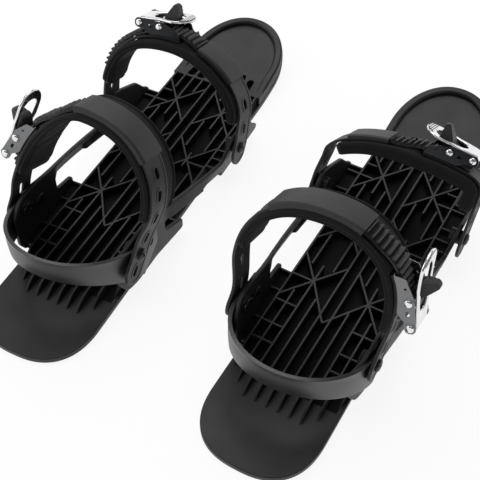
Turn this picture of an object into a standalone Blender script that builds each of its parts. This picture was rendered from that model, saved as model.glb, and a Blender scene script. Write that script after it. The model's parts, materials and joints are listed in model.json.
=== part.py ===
"""Pair of mini skiboards: short ribbed decks with ratchet straps over the ankle and the toes.

Each board is built in its own frame (+X right, +Y toward the tip, +Z up, running surface at
z = 0) and hangs from an empty. The straps are flat pieces laid along an arch over the deck:
s runs along the arch from its crown (plain side negative, buckle side positive), w is across
the strap, and n is outward from the strap's middle surface.
"""

import math
from collections import namedtuple

import bmesh
import bpy
from mathutils import Matrix, Vector

MM = 0.001
GAP = 0.3 * MM                # clearance between pieces that touch
WELD = 0.01 * MM
LAP = 0.5 * MM                # how far joined shapes run into each other

# Pair
BOARD_SPACING = 206 * MM      # between the boards' middle lines
SPLAY = math.radians(1.65)    # each tip turns outward by this much
STAGGER = 4.3 * MM            # the right board lies this much behind the left one

# Ski plate
PLATE_WIDTH = 93 * MM
PLATE_THICKNESS = 5.2 * MM
TAIL_END = -213 * MM
TAIL_ROUND = 50 * MM          # length of the rounded tail
TAIL_SQUARENESS = 2.5         # exponent of the superelliptic tail
TIP_END = 215.5 * MM
TIP_ROUND = 60 * MM           # length of the rounded tip
TIP_SQUARENESS = 2.1
END_STEPS = 8
TIP_START = 120 * MM          # where the running surface leaves the ground
TIP_LIFT = 24 * MM            # running surface height at the tip end
TIP_TOP = 28 * MM             # top surface height at the tip end
RIM_WIDTH = 9 * MM
RIM_HEIGHT = 2.5 * MM

# Rib grid on the plate
RIB_TOP = 14.5 * MM
RIB = 1.8 * MM                # rib thickness
LINE_PITCH = 9.46 * MM        # between the ten lengthwise ribs
GRID_FRONT = 122 * MM         # front end of the open cells
STAR_X = 23.65 * MM           # crossing points of the slanted ribs
STAR_ROWS = (86.5 * MM, 20 * MM, -46.5 * MM)
STAR_REACH = 24.6 * MM        # lengthwise reach of a slanted rib
VEE_END = -80 * MM            # rear slanted ribs meet here on the middle line
FADE = 22 * MM                # length over which a rib's rear end comes down

# Wings, side walls and rails
WING_BOTTOM = 8 * MM
WING_FLOOR = 2 * MM
WALL = 3.5 * MM
REAR_WALL_X = 56 * MM         # outer face of the rear wing's wall
FRONT_WALL_X = 58 * MM        # outer face of the front wing's wall at its foot
FRONT_FLARE = 0.15            # the front wall leans out by this much of its height
WAIST_X = 52.6 * MM           # outer face of the rear wall beside the heel loop
REAR_WING = (-126 * MM, -46 * MM)
FRONT_WING = (19 * MM, 90 * MM)
WAIST_END = -84 * MM          # the rear wall keeps WAIST_X behind this
WAIST_START = -50 * MM
REAR_WALL_FRONT = -70 * MM    # the rear wall is full height behind this, with the rail ahead
REAR_GUSSET = (26 * MM, 18 * MM)      # the low wall's height there and at the wing's front end
RAIL_DEPTH = 11.5 * MM
RAIL_FLARE = 3 * MM           # the rail's lower edge stands out by this much

# Heel loop
LOOP_THICKNESS = 2.6 * MM
LOOP_FRONT = -86 * MM
LOOP_BEND = -108 * MM         # the loop turns in and rises behind this
LOOP_REAR = -167 * MM
LOOP_SQUARENESS = 2.05
LOOP_SIDE = (13 * MM, 49 * MM)        # lower and upper edge at the bend
LOOP_BACK = (47 * MM, 68 * MM)        # and at the rear
LOOP_FRONT_LOW = 31 * MM      # lower edge at the front end
LOOP_SCREW = (-95 * MM, 39 * MM)

# Fasteners
SCREW_RADIUS = 2.4 * MM
SCREW_HEAD_RADIUS = 5 * MM
SCREW_HEAD = 2.4 * MM
ANKLE_BOSS_RADIUS = 4.2 * MM
TOE_BOSS_RADIUS = 6 * MM
NUT_FLANGE_RADIUS = 6.5 * MM
NUT_FLANGE = 1.6 * MM
NUT_SEAT = 2.2 * MM           # how far the nut's round seat stands off the wall
LOOP_SCREW_HEAD = 1.8 * MM
TOE_SCREW_DEPTH = 8 * MM

# Strap layers, measured outward from the slotted strap's middle
STRAP_WIDTH = 24.5 * MM
STRAP = 2.4 * MM
PAD_GAP = 0.6 * MM            # the pad's flats and the strap's don't bend at the same places
SLEEVE_WALL = 1.3 * MM
SLEEVE_ROOM = 1.2 * MM        # height inside the sleeve above the slotted strap
LADDER_INSET = 1.75 * MM      # the toothed strap is narrower than the strap by this on each side
LADDER_WIDTH = STRAP_WIDTH - 2 * LADDER_INSET
LADDER_BODY = 1.8 * MM
TOOTH = 1.6 * MM
TOOTH_PITCH = 4.8 * MM
LUG_FLAT = 7 * MM             # the lug is upright up to this far above its pivot
SLOT_LENGTH = 9 * MM
SLOT_WIDTH = 4.6 * MM
STATION = 9 * MM              # a bent piece is flat for this long at most

# Ratchet buckle, measured from its middle: t toward the crown, n outward, w across
SHEET = 1 * MM                # buckle plate
CHEEK_ROOM = STRAP_WIDTH / 2 + 0.25 * MM
BUCKLE_FRONT = 17 * MM        # the plate's base reaches this far toward the crown
BASE_REAR = 12 * MM           # and this far the other way
PIN_RADIUS = 1.6 * MM
PIN_HEAD_RADIUS = 2.9 * MM
PIN_HEAD = 1.5 * MM
PAWL_PIN = (-3 * MM, 9.3 * MM)
LEVER_PIN = (-22 * MM, 10 * MM)
KNUCKLE_RADIUS = 3.4 * MM
LEVER_SIDE_GAP = 0.7 * MM     # between the lever and each cheek
LEVER_WIDTH = 2 * (CHEEK_ROOM - LEVER_SIDE_GAP)
LEVER_SHEET = 1.6 * MM
LEVER_START = (-24 * MM, 12.6 * MM)
LEVER_CREST = (14.6 * MM, 15.4 * MM)        # n of the lever's two inner control points
LEVER_HOLE_START = 11 * MM    # from the lever's pin end
LEVER_HOLE_MARGIN = 8.5 * MM  # between the hole and the lever's tip
LEVER_HOLE_WIDTH = 16.5 * MM
PAWL_WIDTH = 11 * MM
CLIMB = 20 * MM               # the toothed strap rises onto the buckle over this length

StrapShape = namedtuple("StrapShape", (
    "pivot_y", "pivot_z", "lug_x", "plain_drop", "buckle_drop",
    "low_lean", "high_lean", "bend_start", "bend_end", "top",
    "plain_half", "plain_shoulder", "plain_squareness",
    "buckle_half", "buckle_shoulder", "buckle_squareness",
    "pad_plain_start", "pad_buckle_start", "pad_front", "pad_rear", "pad",
    "sleeve_start", "sleeve_end", "joint", "buckle_at", "ladder_end", "lever_reach", "lever_rise", "slots",
))

ANKLE = StrapShape(
    pivot_y=-114 * MM, pivot_z=45.5 * MM, lug_x=57 * MM, plain_drop=13 * MM, buckle_drop=13 * MM,
    low_lean=45, high_lean=72, bend_start=0, bend_end=40 * MM, top=102 * MM,
    plain_half=63.5 * MM, plain_shoulder=42 * MM, plain_squareness=2.2,
    buckle_half=59 * MM, buckle_shoulder=42 * MM, buckle_squareness=2.2,
    pad_plain_start=27 * MM, pad_buckle_start=27 * MM,
    pad_front=26 * MM, pad_rear=15 * MM, pad=5.5 * MM,
    sleeve_start=-61 * MM, sleeve_end=6 * MM, joint=-20 * MM,
    buckle_at=74 * MM, ladder_end=93 * MM, lever_reach=32 * MM, lever_rise=22 * MM,
    slots=(-14 * MM, 14 * MM, 32 * MM, 52 * MM, 70 * MM),
)
LEFT_ANKLE = ANKLE._replace(
    plain_drop=26 * MM, top=104.4 * MM,
    buckle_half=58.5 * MM, buckle_shoulder=21.8 * MM, buckle_squareness=1.64,
    pad_buckle_start=31 * MM, pad_front=30 * MM, buckle_at=65 * MM,
)
RIGHT_ANKLE = ANKLE._replace(
    pad_plain_start=48 * MM, sleeve_start=-46 * MM, sleeve_end=24 * MM, joint=-10 * MM,
)
TOE = StrapShape(
    pivot_y=40 * MM, pivot_z=30 * MM, lug_x=66 * MM, plain_drop=16 * MM, buckle_drop=16 * MM,
    low_lean=55, high_lean=71.5, bend_start=-8 * MM, bend_end=12 * MM, top=81 * MM,
    plain_half=65.5 * MM, plain_shoulder=30 * MM, plain_squareness=1.8,
    buckle_half=66.5 * MM, buckle_shoulder=17 * MM, buckle_squareness=2.44,
    pad_plain_start=24 * MM, pad_buckle_start=24 * MM,
    pad_front=13 * MM, pad_rear=22 * MM, pad=7 * MM,
    sleeve_start=-58 * MM, sleeve_end=-20 * MM, joint=-38 * MM,
    buckle_at=14 * MM, ladder_end=90 * MM, lever_reach=23 * MM, lever_rise=16 * MM,
    slots=(18 * MM, 40 * MM),
)
LEFT_TOE = TOE
RIGHT_TOE = TOE._replace(
    low_lean=46, high_lean=62.5, bend_end=14 * MM, top=57 * MM,
    plain_half=63 * MM, plain_shoulder=31.5 * MM, plain_squareness=1.75,
    buckle_shoulder=39.5 * MM, buckle_squareness=3.5,
    pad_plain_start=42 * MM, pad_rear=20 * MM, pad=10 * MM,
    sleeve_start=-48 * MM, sleeve_end=-14 * MM, joint=-30 * MM,
    buckle_at=31 * MM, ladder_end=53 * MM, lever_rise=20 * MM,
    slots=(18 * MM, 34 * MM),
)

BLACK_PLASTIC = ("black_plastic", (0.022, 0.022, 0.024), 0.45, 0.0)
SOFT_PLASTIC = ("soft_plastic", (0.03, 0.03, 0.033), 0.6, 0.0)
PAD_FABRIC = ("pad_fabric", (0.015, 0.015, 0.016), 0.9, 0.0)
STEEL = ("buckle_steel", (0.32, 0.33, 0.34), 0.35, 1.0)
CHROME = ("chrome", (0.8, 0.8, 0.82), 0.08, 1.0)


def clear_scene():
    """Remove what the new file holds."""
    for thing in list(bpy.data.objects):
        bpy.data.objects.remove(thing)


def material(look):
    """Return the Principled material of a look, made on first use."""
    name, colour, roughness, metallic = look
    found = bpy.data.materials.get(name)
    if found:
        return found
    made = bpy.data.materials.new(name)
    made.use_nodes = True
    shader = made.node_tree.nodes["Principled BSDF"]
    shader.inputs["Base Color"].default_value = (*colour, 1.0)
    shader.inputs["Roughness"].default_value = roughness
    shader.inputs["Metallic"].default_value = metallic
    made.diffuse_color = (*colour, 1.0)
    return made


def flat_mesh(loops, thickness):
    """Return a plate of the outline and holes in loops, its middle plane at z = 0."""
    curve = bpy.data.curves.new("outline", "CURVE")
    curve.dimensions = "2D"
    curve.fill_mode = "BOTH"
    curve.extrude = thickness / 2
    for loop in loops:
        spline = curve.splines.new("POLY")
        spline.points.add(len(loop) - 1)
        for point, (x, y) in zip(spline.points, loop):
            point.co = (x, y, 0.0, 1.0)
        spline.use_cyclic_u = True
    holder = bpy.data.objects.new("outline", curve)
    bpy.context.scene.collection.objects.link(holder)
    depsgraph = bpy.context.evaluated_depsgraph_get()
    mesh = bpy.data.meshes.new_from_object(holder.evaluated_get(depsgraph))
    bpy.data.objects.remove(holder)
    bpy.data.curves.remove(curve)
    shape = bmesh.new()
    shape.from_mesh(mesh)
    bmesh.ops.remove_doubles(shape, verts=shape.verts[:], dist=WELD)
    bmesh.ops.dissolve_limit(
        shape, angle_limit=math.radians(0.5), verts=shape.verts[:], edges=shape.edges[:])
    face_outward(shape)
    shape.to_mesh(mesh)
    shape.free()
    return mesh


def reshape(mesh, place, axis=0, stations=()):
    """Cut the mesh across an axis at the stations and move each corner to place(corner)."""
    shape = bmesh.new()
    shape.from_mesh(mesh)
    normal = Vector((0.0, 0.0, 0.0))
    normal[axis] = 1.0
    for station in stations:
        bmesh.ops.bisect_plane(
            shape, geom=shape.verts[:] + shape.edges[:] + shape.faces[:], dist=WELD,
            plane_co=normal * station, plane_no=normal)
    for corner in shape.verts:
        corner.co = place(corner.co)
    face_outward(shape)
    shape.to_mesh(mesh)
    shape.free()
    return mesh


def face_outward(shape):
    """Turn the faces of one closed body outward."""
    bmesh.ops.recalc_face_normals(shape, faces=shape.faces[:])
    if shape.calc_volume(signed=True) < 0:
        bmesh.ops.reverse_faces(shape, faces=shape.faces[:])


def stations_between(start, end, step=STATION):
    """Return the multiples of step inside start..end, the same for all pieces on an arch."""
    first, last = math.ceil((start + LAP) / step), math.floor((end - LAP) / step)
    return [i * step for i in range(first, last + 1)]


def joined(meshes):
    """Return one mesh that holds all the given ones, still as separate bodies."""
    shape = bmesh.new()
    for mesh in meshes:
        shape.from_mesh(mesh)
    result = bpy.data.meshes.new("joined")
    shape.to_mesh(result)
    shape.free()
    return result


def combined(base, others, operation="UNION"):
    """Return the Boolean union or difference of base and the joined others."""
    body = bpy.data.objects.new("body", base)
    tool = bpy.data.objects.new("tool", joined(others))
    for thing in (body, tool):
        bpy.context.scene.collection.objects.link(thing)
    cut = body.modifiers.new("boolean", "BOOLEAN")
    cut.operation = operation
    cut.solver = "EXACT"
    cut.use_self = True
    cut.object = tool
    depsgraph = bpy.context.evaluated_depsgraph_get()
    result = bpy.data.meshes.new_from_object(body.evaluated_get(depsgraph))
    bpy.data.objects.remove(body)
    bpy.data.objects.remove(tool)
    shape = bmesh.new()
    shape.from_mesh(result)
    bmesh.ops.remove_doubles(shape, verts=shape.verts[:], dist=WELD)
    bmesh.ops.dissolve_limit(
        shape, angle_limit=math.radians(0.05), verts=shape.verts[:], edges=shape.edges[:])
    bmesh.ops.triangulate(shape, faces=[face for face in shape.faces if len(face.verts) > 4])
    shape.to_mesh(result)
    shape.free()
    return result


def loft(sections):
    """Return a closed body through rings of equally many corners."""
    shape = bmesh.new()
    rings = [[shape.verts.new(corner) for corner in section] for section in sections]
    for ring, following in zip(rings, rings[1:]):
        for i in range(len(ring)):
            j = (i + 1) % len(ring)
            shape.faces.new((ring[i], ring[j], following[j], following[i]))
    shape.faces.new(rings[0])
    shape.faces.new(rings[-1])
    face_outward(shape)
    mesh = bpy.data.meshes.new("loft")
    shape.to_mesh(mesh)
    shape.free()
    return mesh


def box(low, high, turn=0.0):
    """Return a box between two corners, turned about its own vertical middle line."""
    low, high = Vector(low), Vector(high)
    size = high - low
    matrix = (Matrix.Translation((low + high) / 2) @ Matrix.Rotation(turn, 4, "Z")
              @ Matrix.Diagonal((*size, 1.0)))
    shape = bmesh.new()
    bmesh.ops.create_cube(shape, size=1.0, matrix=matrix)
    mesh = bpy.data.meshes.new("box")
    shape.to_mesh(mesh)
    shape.free()
    return mesh


def rod(center, axis, radius, length, segments=12):
    """Return a cylinder about center along an axis."""
    turn = Vector(axis).to_track_quat("Z", "Y").to_matrix().to_4x4()
    shape = bmesh.new()
    bmesh.ops.create_cone(
        shape, cap_ends=True, segments=segments, radius1=radius, radius2=radius, depth=length,
        matrix=Matrix.Translation(center) @ turn)
    mesh = bpy.data.meshes.new("rod")
    shape.to_mesh(mesh)
    shape.free()
    return mesh


def circle(x, y, radius, segments=10):
    """Return the corners of a round outline."""
    angles = [2 * math.pi * i / segments for i in range(segments)]
    return [(x + radius * math.cos(a), y + radius * math.sin(a)) for a in angles]


def round_ended(start, end, width, steps=3):
    """Return a slot outline along x with round ends."""
    radius = width / 2
    outline = []
    for center, turn in ((end - radius, -math.pi / 2), (start + radius, math.pi / 2)):
        for i in range(steps + 1):
            a = turn + math.pi * i / steps
            outline.append((center + radius * math.cos(a), radius * math.sin(a)))
    return outline


def superellipse(half, length, exponent, angle):
    """Return the point of a superelliptic quarter at an angle from 0 (side) to 90 degrees."""
    x = half * max(0.0, math.cos(angle)) ** (2 / exponent)
    y = length * max(0.0, math.sin(angle)) ** (2 / exponent)
    return x, y


# Deck

def plate_outline(inset=0.0):
    """Return the ski's plan outline, drawn in by an inset."""
    half = PLATE_WIDTH / 2 - inset
    angles = [math.pi / 2 * i / END_STEPS for i in range(END_STEPS + 1)]
    right = []
    for angle in reversed(angles):
        x, y = superellipse(half, TAIL_ROUND - inset, TAIL_SQUARENESS, angle)
        right.append((x, TAIL_END + TAIL_ROUND - y))
    for angle in angles:
        x, y = superellipse(half, TIP_ROUND - inset, TIP_SQUARENESS, angle)
        right.append((x, TIP_END - TIP_ROUND + y))
    left = [(-x, y) for x, y in reversed(right[1:-1])]
    return right + left


def sole_height(y):
    """Return the height of the running surface."""
    share = max(0.0, (y - TIP_START) / (TIP_END - TIP_START))
    return TIP_LIFT * share ** 2


def top_height(y):
    """Return the height of the plate's top surface, cell floors included."""
    if y <= GRID_FRONT + WELD:
        return PLATE_THICKNESS
    share = (y - GRID_FRONT) / (TIP_END - GRID_FRONT)
    return RIB_TOP + (TIP_TOP - RIB_TOP) * share ** 2


def ski_plate():
    """Return the plate with its turned-up tip."""
    mesh = flat_mesh([plate_outline()], PLATE_THICKNESS)
    cuts = sorted({round(y, 6) for _, y in plate_outline()})[1:-1]
    cuts += [TIP_START, GRID_FRONT, GRID_FRONT + 1 * MM, 131 * MM, TIP_END - TIP_ROUND]

    def place(corner):
        on_top = corner.z > 0
        return Vector((corner.x, corner.y, top_height(corner.y) if on_top else sole_height(corner.y)))

    return reshape(mesh, place, axis=1, stations=cuts)


def tip_rim():
    """Return the raised band around the tip."""
    start = TIP_END - TIP_ROUND
    outer = [(x, y) for x, y in plate_outline(0.4 * MM) if y >= start]
    inner = [(x, y) for x, y in plate_outline(RIM_WIDTH) if y >= start]
    band = outer + inner[::-1]
    mesh = flat_mesh([band], RIM_HEIGHT)
    cuts = sorted({round(y, 6) for _, y in outer})[1:-1]

    def place(corner):
        rise = RIM_HEIGHT if corner.z > 0 else -LAP
        return Vector((corner.x, corner.y, top_height(corner.y) + rise))

    return reshape(mesh, place, axis=1, stations=cuts)


def lengthwise_rib(x, start, end, fades):
    """Return a rib along Y; a rib that fades comes down to the plate at its rear end."""
    low = PLATE_THICKNESS - LAP
    side = [(end, low), (end, RIB_TOP)]
    if fades:
        drop = RIB_TOP - low
        side += [(start + FADE, RIB_TOP), (start + FADE * 0.45, RIB_TOP - drop * 0.25),
                 (start + FADE * 0.12, RIB_TOP - drop * 0.7), (start, low)]
    else:
        side += [(start, RIB_TOP), (start, low)]
    return reshape(flat_mesh([side], RIB), lambda c: Vector((x + c.z, c.x, c.y)))


def slanted_rib(start, end):
    """Return a rib between two plan points."""
    start, end = Vector(start), Vector(end)
    middle, run = (start + end) / 2, end - start
    half = Vector((run.length / 2, RIB / 2))
    low = (middle.x - half.x, middle.y - half.y, PLATE_THICKNESS - LAP)
    high = (middle.x + half.x, middle.y + half.y, RIB_TOP)
    return box(low, high, math.atan2(run.y, run.x))


def rib_grid():
    """Return all ribs, lengthwise, slanted and across, as overlapping bodies."""
    front = GRID_FRONT + 1.5 * MM
    wall_x = 4.5 * LINE_PITCH
    stars_front, stars_middle, stars_rear = STAR_ROWS
    reach = 0.62 * STAR_REACH
    ribs = []
    for side in (-1, 1):
        def line(k, spans):
            for start, end, fades in spans:
                ribs.append(lengthwise_rib(side * (k + 0.5) * LINE_PITCH, start, end, fades))

        line(4, [(-136 * MM, front, True)])
        line(0, [(-162 * MM, front, True)])
        line(1, [(-162 * MM, stars_rear - reach, True), (stars_rear + reach, stars_middle - reach, False),
                 (stars_middle + reach, stars_front - reach, False), (stars_front + reach, front, False)])
        line(2, [(-162 * MM, stars_rear + 18 * MM, True),
                 (stars_middle - 9 * MM, stars_middle + 9 * MM, False), (stars_front - 23 * MM, front, False)])
        line(3, [(-153 * MM, stars_rear - reach, True), (stars_rear + reach, stars_middle - reach, False),
                 (stars_middle + reach, stars_front - reach, False), (stars_front + reach, front, False)])
        for row in STAR_ROWS:
            star = (side * STAR_X, row)
            for way in (-1, 1):
                ribs.append(slanted_rib(star, (side * wall_x, row + way * STAR_REACH)))
                if way < 0 and row == stars_rear:
                    ribs.append(slanted_rib(star, (0.0, VEE_END)))
                else:
                    ribs.append(slanted_rib(star, (side * LINE_PITCH / 2, row + way * STAR_REACH)))
        wing_x = FRONT_WALL_X - WALL + LAP + FRONT_FLARE * (PLATE_THICKNESS - WING_BOTTOM)
        across = [(stars_front + 9 * MM, 33 * MM, wall_x), (stars_front - 6.5 * MM, 30 * MM, wing_x),
                  (stars_middle - 2.5 * MM, 27 * MM, wall_x), (stars_rear - 0.5 * MM, STAR_X, wall_x)]
        across += [(y * MM, STAR_X, wall_x) for y in (-76, -98.6, -115.3)]
        across += [(y * MM, wall_x, wing_x) for y in (56.3, 43.2, 31.6)]
        across.append((-98.6 * MM, wall_x, WAIST_X - WALL + LAP))
        across.append((-68 * MM, wall_x, REAR_WALL_X - WALL - LAP))
        for y, start, end in across:
            ribs.append(slanted_rib((side * start, y), (side * end, y)))
    return ribs


def loop_half_width(y, offset):
    """Return half the heel loop's width at y, on a face offset from its middle line."""
    middle = WAIST_X + GAP + LOOP_THICKNESS / 2
    share = min(1.0, max(0.0, (LOOP_BEND - y) / (LOOP_BEND - LOOP_REAR + offset)))
    return (middle + offset) * (1 - share ** LOOP_SQUARENESS) ** (1 / LOOP_SQUARENESS)


def loop_edge(y, upper):
    """Return the height of the heel loop's upper or lower edge at y."""
    back, side = LOOP_BACK[upper], LOOP_SIDE[upper]
    if y <= LOOP_BEND:
        return back + (side - back) * (y - LOOP_REAR) / (LOOP_BEND - LOOP_REAR)
    front = side if upper else LOOP_FRONT_LOW
    return side + (front - side) * (y - LOOP_BEND) / (LOOP_FRONT - LOOP_BEND)


def waist_x(y):
    """Return the outer face of the rear wall at y."""
    share = min(1.0, max(0.0, (y - WAIST_END) / (WAIST_START - WAIST_END)))
    return WAIST_X + (REAR_WALL_X - WAIST_X) * share


def wall_sections(side):
    """Return the cross sections of a side wall and rail, from the rear forward."""
    stations = (                        # y, outer x at the foot, low z, high z
        (REAR_WING[0] - 8 * MM, WAIST_X, 22 * MM, 50 * MM),
        (REAR_WING[0], WAIST_X, WING_BOTTOM, 54 * MM),
        (-116 * MM, WAIST_X, WING_BOTTOM, 57 * MM),
        (LOOP_BEND, WAIST_X, WING_BOTTOM, 58 * MM),
        (-99 * MM, WAIST_X, WING_BOTTOM, 58 * MM),
        (WAIST_END, WAIST_X, WING_BOTTOM, 55 * MM),
        (REAR_WALL_FRONT, waist_x(REAR_WALL_FRONT), WING_BOTTOM, 51 * MM),
        (REAR_WALL_FRONT + LAP, waist_x(REAR_WALL_FRONT), 51 * MM - RAIL_DEPTH, 51 * MM),
        (WAIST_START, REAR_WALL_X, 46 * MM - RAIL_DEPTH, 46 * MM),
        (FRONT_WING[0] - LAP, FRONT_WALL_X, 27 * MM - RAIL_DEPTH, 27 * MM),
        (FRONT_WING[0], FRONT_WALL_X, WING_BOTTOM, 27 * MM),
        (30 * MM, FRONT_WALL_X, WING_BOTTOM, 38 * MM),
        (40 * MM, FRONT_WALL_X, WING_BOTTOM, 43 * MM),
        (52 * MM, FRONT_WALL_X, WING_BOTTOM, 39 * MM),
        (74 * MM, FRONT_WALL_X, WING_BOTTOM, 30 * MM),
        (84 * MM, FRONT_WALL_X, WING_BOTTOM, 18 * MM),
        (FRONT_WING[1], FRONT_WALL_X, WING_BOTTOM, RIB_TOP),
    )
    sections = []
    for y, foot, low, high in stations:
        if y < WAIST_END:
            foot = min(foot, loop_half_width(y, -LOOP_THICKNESS / 2) - GAP)
        flare = FRONT_FLARE if foot == FRONT_WALL_X else 0.0
        rail_flare = RAIL_FLARE if REAR_WALL_FRONT < y < FRONT_WING[0] else 0.0
        bottom = foot + flare * (low - WING_BOTTOM) + rail_flare
        top = foot + flare * (high - WING_BOTTOM)
        sections.append(wall_section(side, y, (bottom, low), (top, high)))
    return sections


def wall_section(side, y, foot, head):
    """Return a wall's cross section between the outer points (x, z) at its foot and head."""
    (bottom, low), (top, high) = foot, head
    return ((side * (bottom - WALL), y, low), (side * bottom, y, low),
            (side * top, y, high), (side * (top - WALL), y, high))


def rear_gusset(side):
    """Return the low wall along the rear wing's floor, below the rail's rear end."""
    ends = zip((REAR_WALL_FRONT - LAP, WAIST_START, REAR_WING[1]), (0.0, 5 / 6, 1.0))
    sections = []
    for y, share in ends:
        high = REAR_GUSSET[0] + (REAR_GUSSET[1] - REAR_GUSSET[0]) * share
        sections.append(wall_section(side, y, (waist_x(y), WING_BOTTOM), (waist_x(y), high)))
    return loft(sections)


def wing_floors(side):
    """Return the floors of the rear and front wings and the wing's end webs."""
    inner = 4.5 * LINE_PITCH
    low = WING_BOTTOM + 0.4 * MM
    rear = [(inner, REAR_WING[0] + 1 * MM), (WAIST_X - WALL + LAP, REAR_WING[0] + 1 * MM),
            (WAIST_X - WALL + LAP, WAIST_END), (REAR_WALL_X - WALL + LAP, WAIST_START),
            (REAR_WALL_X - WALL + LAP, REAR_WING[1] - LAP), (inner, REAR_WING[1] - LAP)]
    front = [(inner, FRONT_WING[0] + LAP), (FRONT_WALL_X - WALL + LAP, FRONT_WING[0] + LAP),
             (FRONT_WALL_X - WALL + LAP, FRONT_WING[1] - 1 * MM), (inner, FRONT_WING[1] - 1 * MM)]
    pieces = []
    for outline in (rear, front):
        mesh = flat_mesh([[(side * x, y) for x, y in outline]], WING_FLOOR)
        pieces.append(reshape(mesh, lambda c: c + Vector((0, 0, low + WING_FLOOR / 2))))
    webs = ((REAR_WING[0] + 3 * MM, WAIST_X), (REAR_WING[1] - 2 * MM, REAR_WALL_X),
            (FRONT_WING[0] + 2 * MM, FRONT_WALL_X), (FRONT_WING[1] - 3 * MM, FRONT_WALL_X))
    for y, outer in webs:
        ends = sorted((side * inner, side * (outer - WALL + LAP)))
        pieces.append(box((ends[0], y - RIB / 2, WING_BOTTOM + 0.8 * MM),
                          (ends[1], y + RIB / 2, RIB_TOP - 0.4 * MM)))
    return pieces


def screw_seats(side):
    """Return the bosses of one side and the holes drilled in them."""
    along = (1, 0, 0)
    ankle_face = ANKLE.lug_x - STRAP / 2 - GAP
    ankle_inner = WAIST_X - WALL + LAP
    toe_face = TOE.lug_x - STRAP / 2 - GAP
    toe_inner = toe_face - TOE_SCREW_DEPTH - 2 * MM
    seat = nut_seat_x()
    bosses = [
        rod((side * (ankle_face + ankle_inner) / 2, ANKLE.pivot_y, ANKLE.pivot_z), along,
            ANKLE_BOSS_RADIUS, ankle_face - ankle_inner),
        rod((side * (seat + ankle_inner) / 2, ANKLE.pivot_y, ANKLE.pivot_z), along,
            NUT_FLANGE_RADIUS + LAP, ankle_inner - seat, 16),
        rod((side * (toe_inner + toe_face) / 2, TOE.pivot_y, TOE.pivot_z), along,
            TOE_BOSS_RADIUS, toe_face - toe_inner),
    ]
    radius = SCREW_RADIUS + GAP
    holes = [
        rod((side * WAIST_X, ANKLE.pivot_y, ANKLE.pivot_z), along, radius, 20 * MM, 12),
        rod((side * WAIST_X, *LOOP_SCREW), along, radius, 16 * MM, 12),
        rod((side * toe_face, TOE.pivot_y, TOE.pivot_z), along, radius, 2 * TOE_SCREW_DEPTH, 12),
    ]
    return bosses, holes


def nut_seat_x():
    """Return where the ankle nut's flange seats, from the board's middle."""
    return WAIST_X - WALL - NUT_SEAT


def deck_mesh():
    """Return the one-piece deck: plate, rim, ribs, wings, walls and rails."""
    added = [tip_rim()] + rib_grid()
    holes = []
    for side in (-1, 1):
        added.append(loft(wall_sections(side)))
        added.append(rear_gusset(side))
        added += wing_floors(side)
        bosses, drilled = screw_seats(side)
        added += bosses
        holes += drilled
    return combined(combined(ski_plate(), added), holes, "DIFFERENCE")


# Heel loop

def heel_loop_mesh():
    """Return the band behind the heel, held by a screw and the ankle boss on each side."""
    middle_x = WAIST_X + GAP + LOOP_THICKNESS / 2
    depth = LOOP_BEND - LOOP_REAR
    steps = 9
    outer, inner = [], []
    for offset, edge in ((LOOP_THICKNESS / 2, outer), (-LOOP_THICKNESS / 2, inner)):
        edge.append((middle_x + offset, LOOP_FRONT))
        for i in range(steps + 1):
            angle = math.pi / 2 * i / steps
            x, y = superellipse(middle_x + offset, depth + offset, LOOP_SQUARENESS, angle)
            edge.append((x, LOOP_BEND - y))
    ring = outer + [(-x, y) for x, y in reversed(outer[:-1])]
    ring += [(-x, y) for x, y in inner] + list(reversed(inner[:-1]))
    band = flat_mesh([ring], LOOP_THICKNESS)
    band = reshape(band, lambda c: Vector((c.x, c.y, loop_edge(c.y, c.z > 0))), 1, [LOOP_BEND])
    holes = []
    for side in (-1, 1):
        for (y, z), radius in ((LOOP_SCREW, SCREW_RADIUS),
                               ((ANKLE.pivot_y, ANKLE.pivot_z), ANKLE_BOSS_RADIUS)):
            holes.append(rod((side * middle_x, y, z), (1, 0, 0), radius + GAP, 3 * LOOP_THICKNESS, 12))
    return combined(band, holes, "DIFFERENCE")


# Turned pieces

def turned(profile, center, axis, segments=10):
    """Return a turned body: profile points are (radius, height) from top to bottom."""
    mesh = bpy.data.meshes.new("profile")
    corners = [(radius, 0.0, height) for radius, height in profile]
    closed = profile[0][0] > 0
    edges = [(i, i + 1) for i in range(len(profile) - 1)]
    if closed:
        edges.append((len(profile) - 1, 0))
    mesh.from_pydata(corners, edges, [])
    holder = bpy.data.objects.new("profile", mesh)
    bpy.context.scene.collection.objects.link(holder)
    screw = holder.modifiers.new("turn", "SCREW")
    screw.axis = "Z"
    screw.angle = 2 * math.pi
    screw.steps = segments
    screw.render_steps = segments
    screw.use_merge_vertices = True
    screw.merge_threshold = WELD
    depsgraph = bpy.context.evaluated_depsgraph_get()
    result = bpy.data.meshes.new_from_object(holder.evaluated_get(depsgraph))
    bpy.data.objects.remove(holder)
    bpy.data.meshes.remove(mesh)
    turn = Vector(axis).to_track_quat("Z", "Y").to_matrix()
    return reshape(result, lambda c: turn @ c + Vector(center))


def screw_mesh(center, outward, length, head_radius, head):
    """Return a screw whose head's underside is at center and whose head points outward."""
    profile = [(0.0, head), (head_radius * 0.7, head), (head_radius, head * 0.45),
               (head_radius, 0.0), (SCREW_RADIUS, 0.0), (SCREW_RADIUS, -length), (0.0, -length)]
    return turned(profile, center, outward)


def nut_mesh(center, outward):
    """Return a T-nut's flange, against the inside of a wall, with its serrated edge plain."""
    bore = SCREW_RADIUS + GAP
    profile = [(NUT_FLANGE_RADIUS, 0.0), (NUT_FLANGE_RADIUS * 0.9, -NUT_FLANGE),
               (bore, -NUT_FLANGE), (bore, 0.0)]
    return turned(profile, center, outward)


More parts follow.
